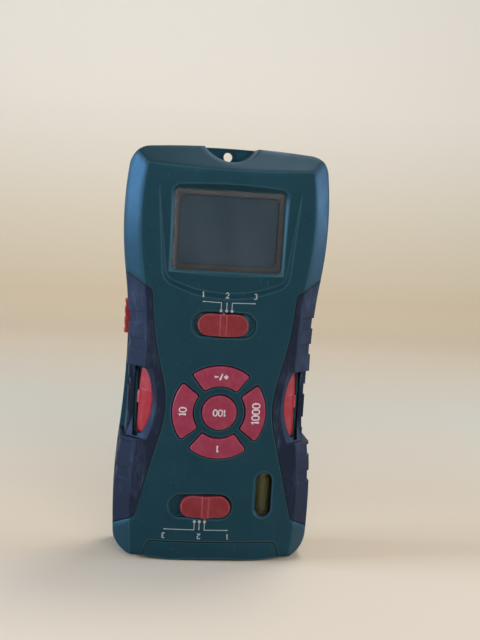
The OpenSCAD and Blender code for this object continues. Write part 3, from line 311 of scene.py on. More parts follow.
# Black-painted steel of the grille: satin, a little dusty.
painted, tree, surface, spot = finish_of("grille_steel_painted_black", Roughness=0.45)
dusty = add(tree, "TexNoise", {}, {"Vector": spot, "Scale": 1 / (1.2 * MM), "Detail": 4.0})
wire(surface, {"Base Color": add(tree, "Mix", {"data_type": "RGBA"}, {
    "Factor": add(tree, "MapRange", {}, {"Value": dusty, "From Min": 0.5, "From Max": 0.8,
                                         "To Max": 0.5}),
    "A": linear("141517"), "B": linear("56544e")})})
give(painted, "horn_grille")

# Turned brass: yellow metal with rings left by the tool, a quarter of a millimetre apart.
brass, tree, surface, spot = finish_of("brass_turned", Metallic=1.0, Base_Color=linear("b5975a"))
rings = add(tree, "TexWave", {"bands_direction": "Z"}, {
    "Vector": spot, "Scale": 0.05 / (0.25 * MM)})
wire(surface, {
    "Roughness": add(tree, "MapRange", {}, {"Value": rings, "To Min": 0.2, "To Max": 0.36}),
    "Normal": add(tree, "Bump", {}, {"Distance": 0.02 * MM, "Height": rings})})
give(brass, "laser_module")

# Red filter glass: deep, glossy and nearly black until light falls through it.
filter_glass, tree, surface, spot = finish_of("filter_glass_red", IOR=1.51, Coat_Weight=0.5)
smear = add(tree, "TexNoise", {}, {"Vector": spot, "Scale": 1 / (2 * MM), "Detail": 3.0})
wire(surface, {
    "Base Color": add(tree, "Mix", {"data_type": "RGBA"}, {
        "Factor": smear, "A": linear("3d0a12"), "B": linear("5a1019")}),
    "Roughness": add(tree, "MapRange", {}, {"Value": smear, "To Min": 0.05, "To Max": 0.16})})
give(filter_glass, "laser_window")

# Level vial with its fluid, lying in a cradle under a slot of the front shell.
# A clear acrylic tube filled with yellow-green spirit and closed by a cemented end; the bubble
# sits at the upper end when the instrument stands.
fluid_low, fluid_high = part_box("vial_fluid")
# Cast acrylic: water-clear and polished, with a faint yellow cast.
acrylic, tree, surface, spot = finish_of("vial_acrylic_polished", IOR=1.49, Alpha=0.14)
handled = add(tree, "TexNoise", {}, {"Vector": spot, "Scale": 1 / (3 * MM), "Detail": 3.0})
wire(surface, {
    "Base Color": add(tree, "Mix", {"data_type": "RGBA"}, {
        "Factor": handled, "A": linear("6d7350"), "B": linear("80845e")}),
    "Roughness": add(tree, "MapRange", {}, {"Value": handled, "To Min": 0.04, "To Max": 0.14})})
give(acrylic, "vial_tube")

# Tinted spirit: olive, browner towards its two ends, with a dark ring where the plug starts.
spirit, tree, surface, spot = finish_of("vial_spirit_tinted", IOR=1.36, Roughness=0.12)
height = add(tree, "SeparateXYZ", {}, {0: spot}).outputs["Z"]
along = add(tree, "MapRange", {}, {"Value": height, "From Min": fluid_low.z,
                                   "From Max": fluid_high.z})
tones = add(tree, "ValToRGB", {}, {0: along})
ramp = tones.color_ramp
for place, tone in ((0.10, "0f120b"), (0.16, "1c1e0e"), (0.28, "23250f"), (0.30, "1a1c0e"),
                    (0.32, "27280f"), (0.62, "2c2a10"), (0.80, "28260f"), (0.82, "0c0d07"),
                    (0.84, "33260d")):
    ramp.elements.new(place).color = linear(tone)
ramp.elements[0].color = linear("0b0d08")
ramp.elements[-1].color = linear("281d0a")
wire(surface, {"Base Color": tones})
give(spirit, "vial_fluid")

# Silicone mat under the keys.
# One grey moulding on the main board, with a carbon-tipped dome under each key.
# Silicone: dull and slightly waxy, with lint clinging to it.
silicone, tree, surface, spot = finish_of("silicone_rubber_grey", IOR=1.41, Roughness=0.7,
                                          Sheen_Weight=0.2)
lint = add(tree, "TexNoise", {}, {"Vector": spot, "Scale": 1 / (0.9 * MM), "Detail": 5.0})
wire(surface, {"Base Color": add(tree, "Mix", {"data_type": "RGBA"}, {
    "Factor": add(tree, "MapRange", {}, {"Value": lint, "From Min": 0.5, "From Max": 0.75,
                                         "To Max": 0.4}),
    "A": linear("4a4b4d"), "B": linear("7d7c78")})})
give(silicone, "key_mat")

# Ring keys and centre key.
# Moulded in red ABS, each with a rounded rim that fingers have polished, drawn paler partly as a
# painted highlight. A flange behind the face keeps every key in its own opening, and its dome on
# the mat lifts it.
pad_low, pad_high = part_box("centre_key")
KEY_PROUD = 1.2
CROWN = 220.0
FACE_Y = pad_low.y / MM + KEY_PROUD
PAD_X = (pad_low.x + pad_high.x) / 2 / MM
PAD_Z = (pad_low.z + pad_high.z) / 2 / MM
RING_OUT, RING_WIDE, RING_GAP = 19.75, 8.9, 14.0
RING_IN = RING_OUT - RING_WIDE
RING_HALF = 45.0 - RING_GAP / 2
RING_REACH = 3.6
KEY_CORNER = 1.2
HUB_R, HUB_REACH = 7.5, 7.2
KEY_RIM = 0.4
KEY_SWELL = 0.16
KEY_FOOT = -3.4
KEY_DRAFT = 0.25
KEY_TURNS = {"top_key": 0, "left_key": 90, "bottom_key": 180, "right_key": 270}


def arc(cx, cy, r, start, end, steps):
    """Points along an arc, in degrees from the first axis."""
    return [(cx + r * math.cos(math.radians(start + (end - start) * i / steps)),
             cy + r * math.sin(math.radians(start + (end - start) * i / steps)))
            for i in range(steps + 1)]


def ring_outline(d):
    """Outline of the key at the top of the ring, drawn in by d."""
    out, inside, c = RING_OUT - d, RING_IN + d, max(KEY_CORNER - d, 0.3)
    far = RING_HALF - math.degrees(math.asin((c + d) / (out - c)))
    near = RING_HALF - math.degrees(math.asin((c + d) / (inside + c)))
    far_at = [(out - c) * f(math.radians(far)) for f in (math.sin, math.cos)]
    near_at = [(inside + c) * f(math.radians(near)) for f in (math.sin, math.cos)]
    half = arc(0, 0, out, 90, 90 - far, 16)[:-1] + arc(*far_at, c, 90 - far, -RING_HALF, 8)
    half += arc(*near_at, c, -RING_HALF, -90 - near, 8)[:-1] + arc(0, 0, inside, 90 - near, 90, 12)
    return half + [(-u, v) for u, v in half[-2:0:-1]]


def hub_outline(d):
    return arc(0, 0, HUB_R - d, 0, 355, 71)


def closed(loops):
    """Points and faces of a skin through loops of one length, shut at both ends."""
    n, last = len(loops[0]), len(loops) - 1
    faces = [tuple(range(n)), tuple(last * n + k for k in range(n))]
    faces += [(i * n + k, i * n + (k + 1) % n, (i + 1) * n + (k + 1) % n, (i + 1) * n + k)
              for i in range(last) for k in range(n)]
    return [p for loop in loops for p in loop], faces


def rounded_stack(outline, reach, place, top, rim, swell, foot, draft=0.0):
    """Skin of a key: drafted sides, a rounded rim, and a top that swells towards its middle."""
    shoulder = top - swell - rim
    stack = [(0, foot), (draft, shoulder)]
    stack += [(draft + rim - rim * math.cos(math.radians(a)),
               shoulder + rim * math.sin(math.radians(a))) for a in (20, 40, 60, 78, 90)]
    stack += [(draft + rim + (reach - draft - rim) * s, top - swell * (1 - s) ** 2)
              for s in (0.1, 0.22, 0.36, 0.52, 0.7, 0.86, 1.0)]
    return closed([[place(u, v, h) for u, v in outline(d)] for d, h in stack])


def built(name, points, faces, material, sharp=38):
    """An object from points in millimetres: normals outwards, edges sharp from an angle up."""
    mesh = bpy.data.meshes.new(name)
    mesh.from_pydata([Vector(p) * MM for p in points], [], faces)
    skin = bmesh.new()
    skin.from_mesh(mesh)
    bmesh.ops.recalc_face_normals(skin, faces=skin.faces)
    skin.to_mesh(mesh)
    skin.free()
    mesh.materials.append(material)
    mesh.shade_smooth()
    mesh.set_sharp_from_angle(angle=math.radians(sharp))
    piece = bpy.data.objects.new(name, mesh)
    bpy.context.scene.collection.objects.link(piece)
    return piece


def riding(piece, body, slot, *replaced):
    """Sets what a piece rides on, and the CAD nodes it shows in their place; the slot it is given
    is not used.
    """
    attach(piece, body)
    if replaced:
        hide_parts(*replaced)


def on_face(x, z, turn=0):
    """Places points u, v and a height over the crowned face, about x and z."""
    c, s = math.cos(math.radians(turn)), math.sin(math.radians(turn))

    def place(u, v, h):
        at = x + u * c - v * s
        return at, FACE_Y + CROWN - math.sqrt((CROWN + h) ** 2 - at * at), z + u * s + v * c
    return place


def key_plastic_of(name, colour, pale):
    """Red ABS: satin and slightly mottled, its rims paler, partly rubbed and partly a painted
    highlight, and its top finely scratched.
    """
    made, tree, surface, spot = finish_of(name, IOR=1.53, Specular_IOR_Level=0.28)
    mottle = add(tree, "TexNoise", {}, {"Vector": spot, "Scale": 1 / (3.5 * MM), "Detail": 5.0})
    soft = add(tree, "Bevel", {"samples": 6}, {"Radius": 0.8 * MM})
    turned = add(tree, "VectorMath", {"operation": "DOT_PRODUCT"}, {
        0: soft, 1: add(tree, "NewGeometry").outputs["Normal"]})
    # the rims are drawn paler, partly as rubbed wear and partly as a painted highlight where the
    # rounded rims catch the light
    rim = add(tree, "MapRange", {}, {"Value": turned.outputs["Value"], "From Min": 0.99,
                                     "From Max": 0.88, "To Max": 0.6})
    scratch = add(tree, "TexNoise", {}, {
        "Vector": add(tree, "Mapping", {}, {"Vector": spot, "Rotation": (0, 0.9, 0),
                                            "Scale": (1.0, 1.0, 0.06)}),
        "Scale": 1 / (0.3 * MM), "Detail": 1.0})
    scratched = add(tree, "MapRange", {}, {"Value": scratch, "From Min": 0.68, "From Max": 0.76,
                                           "To Max": 0.35})
    pores = add(tree, "TexNoise", {}, {"Vector": spot, "Scale": 1 / (0.3 * MM), "Detail": 2.0})
    body = add(tree, "Mix", {"data_type": "RGBA"}, {
        "Factor": add(tree, "MapRange", {}, {"Value": mottle, "From Min": 0.4, "From Max": 0.8,
                                             "To Max": 0.12}),
        "A": linear(colour), "B": linear(pale)})
    wire(surface, {
        "Base Color": add(tree, "Mix", {"data_type": "RGBA"}, {
            "Factor": add(tree, "Math", {"operation": "MAXIMUM"}, {0: rim, 1: scratched}),
            "A": body, "B": linear(pale)}),
        "Roughness": add(tree, "MapRange", {}, {"Value": mottle, "From Min": 0.3, "From Max": 0.7,
                                                "To Min": 0.5, "To Max": 0.34}),
        "Normal": add(tree, "Bump", {}, {"Distance": 0.01 * MM, "Height": pores})})
    return made


key_red = key_plastic_of("red_abs_keypad", "8e2848", "c77f92")
for key, turn in (*KEY_TURNS.items(), ("centre_key", 0)):
    outline, reach = (ring_outline, RING_REACH) if key in KEY_TURNS else (hub_outline, HUB_REACH)
    points, faces = rounded_stack(outline, reach, on_face(PAD_X, PAD_Z, turn), KEY_PROUD,
                                  KEY_RIM, KEY_SWELL, KEY_FOOT, KEY_DRAFT)
    riding(built(key + "_moulding", points, faces, key_red), key, "key_plastic", key)

# Printed signs of the keys.
# White ink, pad-printed on the key tops and worn at its edges: plain numbers and signs that
# stand upside down or sideways for a user who holds the instrument by its head.
INK_H, INK_LIFT = 0.05, 0.02
SIGN_STROKE = 0.17
LEGENDS = (("top_key", 0, 15.2, 180, "+/-", 2.7), ("left_key", -15.3, 0, 90, "10", 2.9),
           ("right_key", 15.3, 0, 90, "1000", 3.1), ("bottom_key", 0, -15.2, 180, "1", 2.7),
           ("centre_key", 0, 0, 180, "100", 2.6))


def ink_of(name, colour, thin):
    """Pad-printing ink: chalky white, thin enough at places for the plastic to show."""
    made, tree, surface, spot = finish_of(name, Roughness=0.55)
    rub = add(tree, "TexNoise", {}, {"Vector": spot, "Scale": 1 / (0.5 * MM), "Detail": 3.0})
    wire(surface, {"Base Color": add(tree, "Mix", {"data_type": "RGBA"}, {
        "Factor": add(tree, "MapRange", {}, {"Value": rub, "From Min": 0.5, "From Max": 0.72,
                                             "To Max": 0.5}),
        "A": linear(colour), "B": linear(thin)})})
    return made


key_ink = ink_of("white_ink_key_tops", "d8d2de", "a58790")


def stroke(path, width):
    """Rows of points for a line of ink of one width along a path, mitred at its corners."""
    rows, path = [], [Vector(p) for p in path]
    for i, at in enumerate(path):
        ahead = (path[min(i + 1, len(path) - 1)] - at).normalized()
        behind = (at - path[max(i - 1, 0)]).normalized()
        along = (ahead + behind).normalized()
        reach = width / 2 / max(along.dot(ahead or behind), 0.6)
        rows.append([(at.x - s * along.y * reach, at.y + s * along.x * reach, INK_H)
                     for s in (1, -1)])
    return rows


def heaped(rows, place, foot):
    """Skin over rows of points u, v, h, with straight sides down to the foot and a flat base."""
    wide, points = len(rows[0]), [p for row in rows for p in row]
    faces = [(r * wide + i, r * wide + i + 1, (r + 1) * wide + i + 1, (r + 1) * wide + i)
             for r in range(len(rows) - 1) for i in range(wide - 1)]
    last = len(points)
    rim = list(range(wide)) + [r * wide + wide - 1 for r in range(1, len(rows))]
    rim += list(range(last - 2, last - wide - 1, -1))
    rim += [r * wide for r in range(len(rows) - 2, 0, -1)]
    points += [(points[i][0], points[i][1], foot) for i in rim]
    faces += [(rim[k], rim[(k + 1) % len(rim)], last + (k + 1) % len(rim), last + k)
              for k in range(len(rim))]
    faces.append(tuple(last + k for k in range(len(rim))))
    return [place(*p) for p in points], faces


# the plain face of the signs: each one's width and its strokes, for a height of one
SIGNS = {"0": (0.82, [arc(0, 0.2, 0.29, 0, 180, 8) + arc(0, -0.2, 0.29, 180, 360, 8)
                      + [(0.29, 0.2)]]),
         "1": (0.55, [[(-0.18, 0.3), (0.04, 0.5), (0.04, -0.5)]]),
         "2": (0.78, [arc(0, 0.23, 0.27, 170, -35, 8) + [(-0.29, -0.46), (0.31, -0.46)]]),
         "3": (0.78, [arc(0, 0.24, 0.25, 150, -90, 8), arc(0, -0.24, 0.25, 90, -150, 8)]),
         "+": (0.95, [[(-0.34, 0), (0.34, 0)], [(0, -0.34), (0, 0.34)]]),
         "-": (0.85, [[(-0.3, 0), (0.3, 0)]]),
         "/": (0.62, [[(-0.18, -0.5), (0.18, 0.5)]])}


def printed(name, text, size, place, foot, ink):
    """Signs laid side by side on a surface, as ink of its own thickness."""
    points, faces, at = [], [], -sum(SIGNS[sign][0] for sign in text) / 2
    for sign in text:
        advance, paths = SIGNS[sign]
        for path in paths:
            rows = stroke([((u + at + advance / 2) * size, v * size) for u, v in path],
                          SIGN_STROKE * size)
            more, skin = heaped(rows, lambda u, v, h: place(u, v, h + foot), 0.0)
            faces += [tuple(k + len(points) for k in face) for face in skin]
            points += more
        at += advance
    return built(name, points, faces, ink)


for key, u, v, upright, text, size in LEGENDS:
    riding(printed(key + "_sign", text, size, on_face(PAD_X + u, PAD_Z + v, upright),
                   KEY_PROUD + INK_LIFT, key_ink), key, "key_plastic")

# Front shell and end cap.
# The front half of the housing in the same teal ABS, crowned, with a dish round the display, a
# scoop at the waist on each side and a cap that closes the foot.
give(abs_plastic, "front_shell", "end_cap")

# Display window.
# Clear acrylic, cemented on the ledge of its opening, with a dark band printed on its back;
# dust has settled along its upper and left edges.
PANE_X, PANE_Z = [(pane_low[i] + pane_high[i]) / 2 / MM for i in (0, 2)]
PANE_W, PANE_H = [(pane_high[i] - pane_low[i]) / MM for i in (0, 2)]
PANE_BACK = -(pane_high.y - pane_low.y) / MM
PANE_CORNER, PANE_RIM, PANE_REACH = 2.2, 0.15, 16.2
BAND_W, BAND_T, BAND_CORNER = 2.3, 0.08, 2.4
BAND_GAP = 0.02


def pane_outline(d, corner=PANE_CORNER):
    w, h, r = PANE_W / 2 - d, PANE_H / 2 - d, max(corner - d, 0.2)
    return (arc(w - r, h - r, r, 0, 90, 6) + arc(r - w, h - r, r, 90, 180, 6)
            + arc(r - w, r - h, r, 180, 270, 6) + arc(w - r, r - h, r, 270, 360, 6))


def on_pane(u, v, h):
    return PANE_X + u, pane_low.y / MM - h, PANE_Z + v


# Scratched acrylic: glossy under a haze of wiped dust, with fine hairlines and grey specks.
window_clear, tree, surface, spot = finish_of("display_acrylic_scratched", IOR=1.49)
offset = add(tree, "SeparateXYZ", {}, {0: add(tree, "VectorMath", {"operation": "SUBTRACT"}, {
    0: spot, 1: (PANE_X * MM, 0, PANE_Z * MM)})})
top_dust = add(tree, "MapRange", {}, {
    "Value": offset.outputs["Z"], "From Min": (PANE_H / 2 - 3.0) * MM,
    "From Max": (PANE_H / 2 - 0.6) * MM, "To Max": 0.25})
left_dust = add(tree, "MapRange", {}, {
    "Value": offset.outputs["X"], "From Min": (2.2 - PANE_W / 2) * MM,
    "From Max": (0.5 - PANE_W / 2) * MM, "To Max": 0.4})
fluff = add(tree, "TexNoise", {}, {"Vector": spot, "Scale": 1 / (1.1 * MM), "Detail": 6.0})
settled = add(tree, "Math", {"operation": "MULTIPLY"}, {
    0: add(tree, "Math", {"operation": "MAXIMUM"}, {0: top_dust, 1: left_dust}),
    1: add(tree, "MapRange", {}, {"Value": fluff, "From Min": 0.35, "From Max": 0.6})})
haze = add(tree, "TexNoise", {}, {
    "Vector": add(tree, "Mapping", {}, {"Vector": spot, "Rotation": (0, 0.6, 0),
                                        "Scale": (1.0, 1.0, 0.4)}),
    "Scale": 1 / (11 * MM), "Detail": 4.0})
wiped = add(tree, "MapRange", {}, {"Value": haze, "From Min": 0.4, "From Max": 0.75,
                                   "To Min": 0.02, "To Max": 0.06})
motes = add(tree, "TexVoronoi", {}, {"Vector": spot, "Scale": 1 / (1.9 * MM)})
mote = add(tree, "Math", {"operation": "MULTIPLY"}, {
    0: add(tree, "MapRange", {}, {"Value": motes.outputs["Distance"], "From Min": 0.1,
                                  "From Max": 0.05, "To Max": 0.3}),
    1: add(tree, "Math", {"operation": "GREATER_THAN"}, {
        0: add(tree, "SeparateColor", {}, {0: motes.outputs["Color"]}), 1: 0.86})})
lines = add(tree, "TexNoise", {}, {
    "Vector": add(tree, "Mapping", {}, {"Vector": spot, "Rotation": (0, 0.35, 0),
                                        "Scale": (1.0, 1.0, 0.03)}),
    "Scale": 1 / (0.35 * MM), "Detail": 1.0})
line = add(tree, "MapRange", {}, {"Value": lines, "From Min": 0.74, "From Max": 0.8, "To Max": 0.2})
cover = add(tree, "Math", {"operation": "MAXIMUM"}, {
    0: add(tree, "Math", {"operation": "MAXIMUM"}, {0: settled, 1: wiped}),
    1: add(tree, "Math", {"operation": "MAXIMUM"}, {0: mote, 1: line})})
wire(surface, {
    "Base Color": add(tree, "Mix", {"data_type": "RGBA"}, {
        "Factor": settled, "A": linear("8797a6"), "B": linear("75685f")}),
    "Alpha": cover,
    "Roughness": add(tree, "MapRange", {}, {"Value": haze, "From Min": 0.3, "From Max": 0.7,
                                            "To Min": 0.1, "To Max": 0.3})})
points, faces = rounded_stack(pane_outline, PANE_REACH, on_pane, 0.0, PANE_RIM, 0.0,
                              PANE_BACK + BAND_T + BAND_GAP)
riding(built("display_window_moulding", points, faces, window_clear), "housing", "window_plastic",
       "display_window")

# Screen-printed band: warm near-black, matt.
band_ink, tree, surface, spot = finish_of("black_ink_screen_printed", Roughness=0.6)
weave = add(tree, "TexNoise", {}, {"Vector": spot, "Scale": 1 / (2.5 * MM), "Detail": 4.0})
wire(surface, {"Base Color": add(tree, "Mix", {"data_type": "RGBA"}, {
    "Factor": weave, "A": linear("1b1f27"), "B": linear("27262b")})})
outer, inner = pane_outline(0.05), pane_outline(BAND_W, BAND_W + BAND_CORNER)
front = PANE_BACK + BAND_T
points = [on_pane(u, v, h) for ring, h in ((outer, PANE_BACK), (outer, front), (inner, front),
                                           (inner, PANE_BACK)) for u, v in ring]
n = len(outer)
faces = [(i * n + k, i * n + (k + 1) % n, (i + 1) % 4 * n + (k + 1) % n, (i + 1) % 4 * n + k)
         for i in range(4) for k in range(n)]
riding(built("display_band", points, faces, band_ink), "housing", "window_plastic")

# Selector knobs.
# Red ABS sliders in stadium slots, each with a rib for the thumb between two hollows and a
# small pointer; the stem behind works a slide switch.
KNOB_L, KNOB_W, KNOB_TOP = 20.9, 9.2, 2.0
KNOB_RIM = 0.4
RIB_HALF = 1.35
THUMB_R, THUMB_AT, THUMB_LOW = 9.0, 5.5, 0.5
POINTER, POINTER_BACK, POINTER_HALF, POINTER_TIP = 0.7, 1.3, 1.0, 0.16
KNOB_FOOT = -2.0
knob_red = key_plastic_of("red_abs_knobs", "80222d", "b86a74")


def eased(distance, radius):
    """How far a rounded rim lies below the top, at a distance in from the edge."""
    if distance >= radius:
        return 0.0
    return radius - math.sqrt(max(radius ** 2 - (radius - distance) ** 2, 0.0))


def knob_rows():
    r, run = KNOB_W / 2, (KNOB_L - KNOB_W) / 2
    ends = [run + r * math.sin(math.radians(a)) for a in (15, 30, 45, 57, 67, 75, 81, 86)]
    half = [RIB_HALF * s for s in (0.0, 0.35, 0.7, 0.9, 1.0)] + [RIB_HALF + 0.06]
    half += [1.9, 2.6, 3.4, 4.2, 5.0, run] + ends
    across = [math.sin(math.radians(a)) for a in (-90, -76, -66, -56, -42, -28, -14, 0,
                                                  14, 28, 42, 56, 66, 76, 90)]
    rows = []
    for u in [-x for x in half[:0:-1]] + half:
        past = max(abs(u) - run, 0.0)
        wide = math.sqrt(r * r - past * past)
        hollow = THUMB_R + THUMB_LOW - math.sqrt(max(THUMB_R ** 2 - (abs(u) - THUMB_AT) ** 2, 0.0))
        top = KNOB_TOP - 0.1 * (abs(u) / RIB_HALF) ** 2 if abs(u) <= RIB_HALF else min(
            KNOB_TOP - 0.3, hollow)
        rows.append([(u, wide * t, top - eased(r - math.hypot(past, wide * t), KNOB_RIM))
                     for t in across])
    return rows


for knob, side in (("upper_selector", 1), ("lower_selector", -1)):
    low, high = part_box(knob)
    x, z = (low.x + high.x) / 2 / MM, (low.z + high.z - side * POINTER * MM) / 2 / MM

    def place(u, v, h):
        return x + side * u, FACE_Y - h, z + side * v
    points, faces = heaped(knob_rows(), place, KNOB_FOOT)
    riding(built(knob + "_moulding", points, faces, knob_red), knob, "key_plastic", knob)
    tip = KNOB_W / 2 + POINTER
    wedge = [(-POINTER_HALF, tip - POINTER_BACK), (POINTER_HALF, tip - POINTER_BACK),
             (POINTER_TIP, tip), (-POINTER_TIP, tip)]
    points, faces = closed([[place(u * s, v - (1 - s) * 0.5, h) for u, v in wedge]
                            for h, s in ((0.0, 1.0), (1.1, 1.0), (1.45, 0.75))])
    riding(built(knob + "_pointer", points, faces, knob_red), knob, "key_plastic")

# Printed scale of each selector.
# Three dots in white ink with fine leaders to plain numbers, one for each place of the knob.
# Each row: the dots across the face, where their leaders end, and how far above the middle of
# the slot the dots, the leaders' start, bend and end, and the numbers stand.
LINE_W, LINE_CUT = 0.3, 1.2
DOT_R = 0.62
NUMBER_SIZE = 2.2
SCALES = (("upper", (-1.7, 0.6, 2.8), (-9.4, 0.6, 12.4), (5.9, 6.3, 9.3, 9.45, 12.3), 0, "123"),
          ("lower", (-7.8, -5.7, -3.5), (-20.5, -5.7, 6.5), (-6.5, -6.9, -10.1, -10.1, -12.9),
           180, "321"))
shell_ink = ink_of("white_ink_shell_face", "a3b0b8", "5f7781")


def inked_line(name, points, width, place):
    """A printed line through points u, v, cut short enough to follow the crown."""
    path = [Vector(points[0])]
    for a, b in zip(points, points[1:]):
        cuts = max(int((Vector(b) - Vector(a)).length / LINE_CUT), 1)
        path += [Vector(a).lerp(Vector(b), (k + 1) / cuts) for k in range(cuts)]
    return built(name, *heaped(stroke(path, width), place, 0.0), shell_ink)


face = on_face(0, 0)
for row, dots, ends, levels, upright, numbers in SCALES:
    slot_low, slot_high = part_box(row + "_switch")
    dot_z, start, bend, end, number_z = [(slot_low.z + slot_high.z) / 2 / MM + h for h in levels]
    for n, (x, end_x, number) in enumerate(zip(dots, ends, numbers)):
        dot = closed([[face(x + u, dot_z + v, h) for u, v in arc(0, 0, DOT_R, 0, 345, 23)]
                      for h in (0.0, INK_H)])
        leader = [(x, start), (x, bend)] + ([(end_x, end)] if end_x != x else [])
        for piece in (built(f"{row}_dot_{n}", *dot, shell_ink),
                      inked_line(f"{row}_leader_{n}", leader, LINE_W, face),
                      printed(f"{row}_number_{n}", number, NUMBER_SIZE,
                              on_face(end_x, number_z, upright), INK_LIFT, shell_ink)):
            riding(piece, "housing", "housing_plastic")

# Squeeze keys in the sloping edges, and the springs behind them.
# Red ABS blades with a ridge along their length, a step near the top and a tab at the outer
# edge; a coil of steel wire on the rear shell pushes each one back out.
SQUEEZE_W, SQUEEZE_H, SQUEEZE_BULGE = 8.0, 27.3, 3.6
SQUEEZE_END, SQUEEZE_CORNER = 2.0, 0.8
SQUEEZE_TOP, SQUEEZE_RIM, SQUEEZE_LIP = 0.5, 0.55, 0.5
SQUEEZE_FLANGE = 0.8
SQUEEZE_BACK = (4.85, 6.05)
SQUEEZE_LEAN, SLOPE = 2.2, 0.89
STEP_V, STEP_DROP = 4.4, 0.42
RIDGE_U, RIDGE_FALL = 0.9, 0.17
TAB_V, TAB_H, TAB_OUT, TAB_CORNER, TAB_ROOT = 1.0, 5.4, 0.65, 0.4, 0.6
TAB_LOW, TAB_HIGH = -2.5, 0.1
squeeze_red = key_plastic_of("red_abs_squeeze_keys", "981826", "cc7480")
blade_r = ((SQUEEZE_H / 2) ** 2 + SQUEEZE_BULGE ** 2) / (2 * SQUEEZE_BULGE)
blade_mid = blade_r - SQUEEZE_W / 2
end_v = SQUEEZE_H / 2 - SQUEEZE_END
end_tilt = math.asin(end_v / (blade_r - SQUEEZE_END))
end_u = blade_mid - (blade_r - SQUEEZE_END) * math.cos(end_tilt)


def blade_span(v):
    """Inner and outer edge of a blade at v: one arc with rounded ends, and a straight side."""
    side = min(abs(v), SQUEEZE_H / 2)
    if side < blade_r * math.sin(end_tilt):
        inner = blade_mid - math.sqrt(blade_r ** 2 - side ** 2)
    else:
        inner = end_u - math.sqrt(max(SQUEEZE_END ** 2 - (side - end_v) ** 2, 0.0))
    past = max(side - (SQUEEZE_H / 2 - SQUEEZE_CORNER), 0.0)
    return inner, SQUEEZE_W / 2 - SQUEEZE_CORNER + math.sqrt(
        max(SQUEEZE_CORNER ** 2 - past ** 2, 0.0))


def blade_rows():
    ends = [end_v + SQUEEZE_END * math.sin(math.radians(a)) for a in (25, 45, 60, 72, 82, 90)]
    flat = [end_v * k / 12 for k in range(13)]
    levels = sorted([-v for v in ends + flat[1:]] + flat + ends
                    + [STEP_V - 0.35, STEP_V - 0.1, STEP_V + 0.1, STEP_V + 0.35])
    rows = []
    for v in levels:
        inner, outer = blade_span(v)
        inner, outer = inner + KEY_DRAFT, outer + SQUEEZE_LIP
        across = [inner + (outer - inner) * (0.5 - 0.5 * math.cos(math.pi * k / 16))
                  for k in range(17)]
        step = min(max((v - STEP_V + 0.1) / 0.2, 0.0), 1.0)
        row = []
        for u in across:
            ridge = -RIDGE_FALL * abs(u - RIDGE_U) - 0.03 * max(abs(u - RIDGE_U) - 1.5, 0.0)
            top = SQUEEZE_TOP + (1 - step) * ridge - step * (STEP_DROP + 0.03 * (v - STEP_V))
            edge = min(u - inner, outer - u, SQUEEZE_H / 2 - abs(v))
            row.append((u, v, top - eased(max(edge, 0.0), SQUEEZE_RIM)))
        rows.append(row)
    return rows


def in_blade_frame(side, origin):
    """Places u, v and the height along the axis that a squeeze key moves on."""
    lean = math.radians(SQUEEZE_LEAN)
    cl, sl, run = math.cos(lean), math.sin(lean), math.hypot(1, SLOPE)

    def place(u, v, h):
        across, up = u * cl - v * sl, u * sl + v * cl
        return (origin[0] + side * (across * SLOPE + h) / run,
                origin[1] + (across - h * SLOPE) / run, origin[2] + up)
    return place


for key, side in (("left_squeeze_key", -1), ("right_squeeze_key", 1)):
    # the place comes from the key's box: its flange, its blade and its tab fill that box
    loose = in_blade_frame(side, (0, 0, 0))
    shape = [loose(u + s * SQUEEZE_FLANGE, v * (1 + SQUEEZE_FLANGE * 2 / SQUEEZE_H), -h)
             for v in [end_v * k / 6 for k in range(-6, 7)] + [-SQUEEZE_H / 2, SQUEEZE_H / 2]
             for u, s in zip(blade_span(v), (-1, 1)) for h in SQUEEZE_BACK]
    shape += [loose(u, v, SQUEEZE_TOP) for v in (-SQUEEZE_H / 2, SQUEEZE_H / 2)
              for u in (blade_span(0)[0], SQUEEZE_W / 2)]
    shape += [loose(SQUEEZE_W / 2 + TAB_OUT, TAB_V + s * TAB_H / 2, h) for s in (-1, 1)
              for h in (TAB_LOW, TAB_HIGH)]
    low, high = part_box(key)
    origin = [(low[i] + high[i]) / 2 / MM
              - (min(p[i] for p in shape) + max(p[i] for p in shape)) / 2 for i in range(3)]
    place = in_blade_frame(side, origin)
    points, faces = heaped(blade_rows(), place, -SQUEEZE_BACK[0])
    riding(built(key + "_blade", points, faces, squeeze_red), key, "key_plastic", key)
    corner_u, corner_v = TAB_OUT - TAB_CORNER, TAB_H / 2 - TAB_CORNER
    tab = [(SQUEEZE_W / 2 + SQUEEZE_LIP + u, TAB_V + v) for u, v in
           [(-TAB_ROOT, -TAB_H / 2)] + arc(corner_u, -corner_v, TAB_CORNER, -90, 0, 4)
           + arc(corner_u, corner_v, TAB_CORNER, 0, 90, 4) + [(-TAB_ROOT, TAB_H / 2)]]
    points, faces = closed([[place(u - s, v * (1 - s / 4), h) for u, v in tab]
                            for h, s in ((TAB_LOW, 0), (-0.1, 0), (TAB_HIGH, 0.2))])
    riding(built(key + "_tab", points, faces, squeeze_red), key, "key_plastic")

# ribs of the front shell that guide the outer edges of the squeeze keys
RIB_X, RIB_Y, RIB_Z, RIB_CHAMFER = (33.7, 34.75), (-3.5, -1.9), (53.4, 80.2), 0.3
for name, side in (("left", -1), ("right", 1)):
    section = [(RIB_X[0], RIB_Y[1]), (RIB_X[0], RIB_Y[0] + RIB_CHAMFER),
               (RIB_X[0] + RIB_CHAMFER, RIB_Y[0]), (RIB_X[1] - RIB_CHAMFER, RIB_Y[0]),
               (RIB_X[1], RIB_Y[0] + RIB_CHAMFER), (RIB_X[1], RIB_Y[1])]
    points, faces = closed([[(side * x, y, z) for x, y in section] for z in RIB_Z])
    riding(built(name + "_guide_rib", points, faces, abs_plastic), "housing", "housing_plastic")

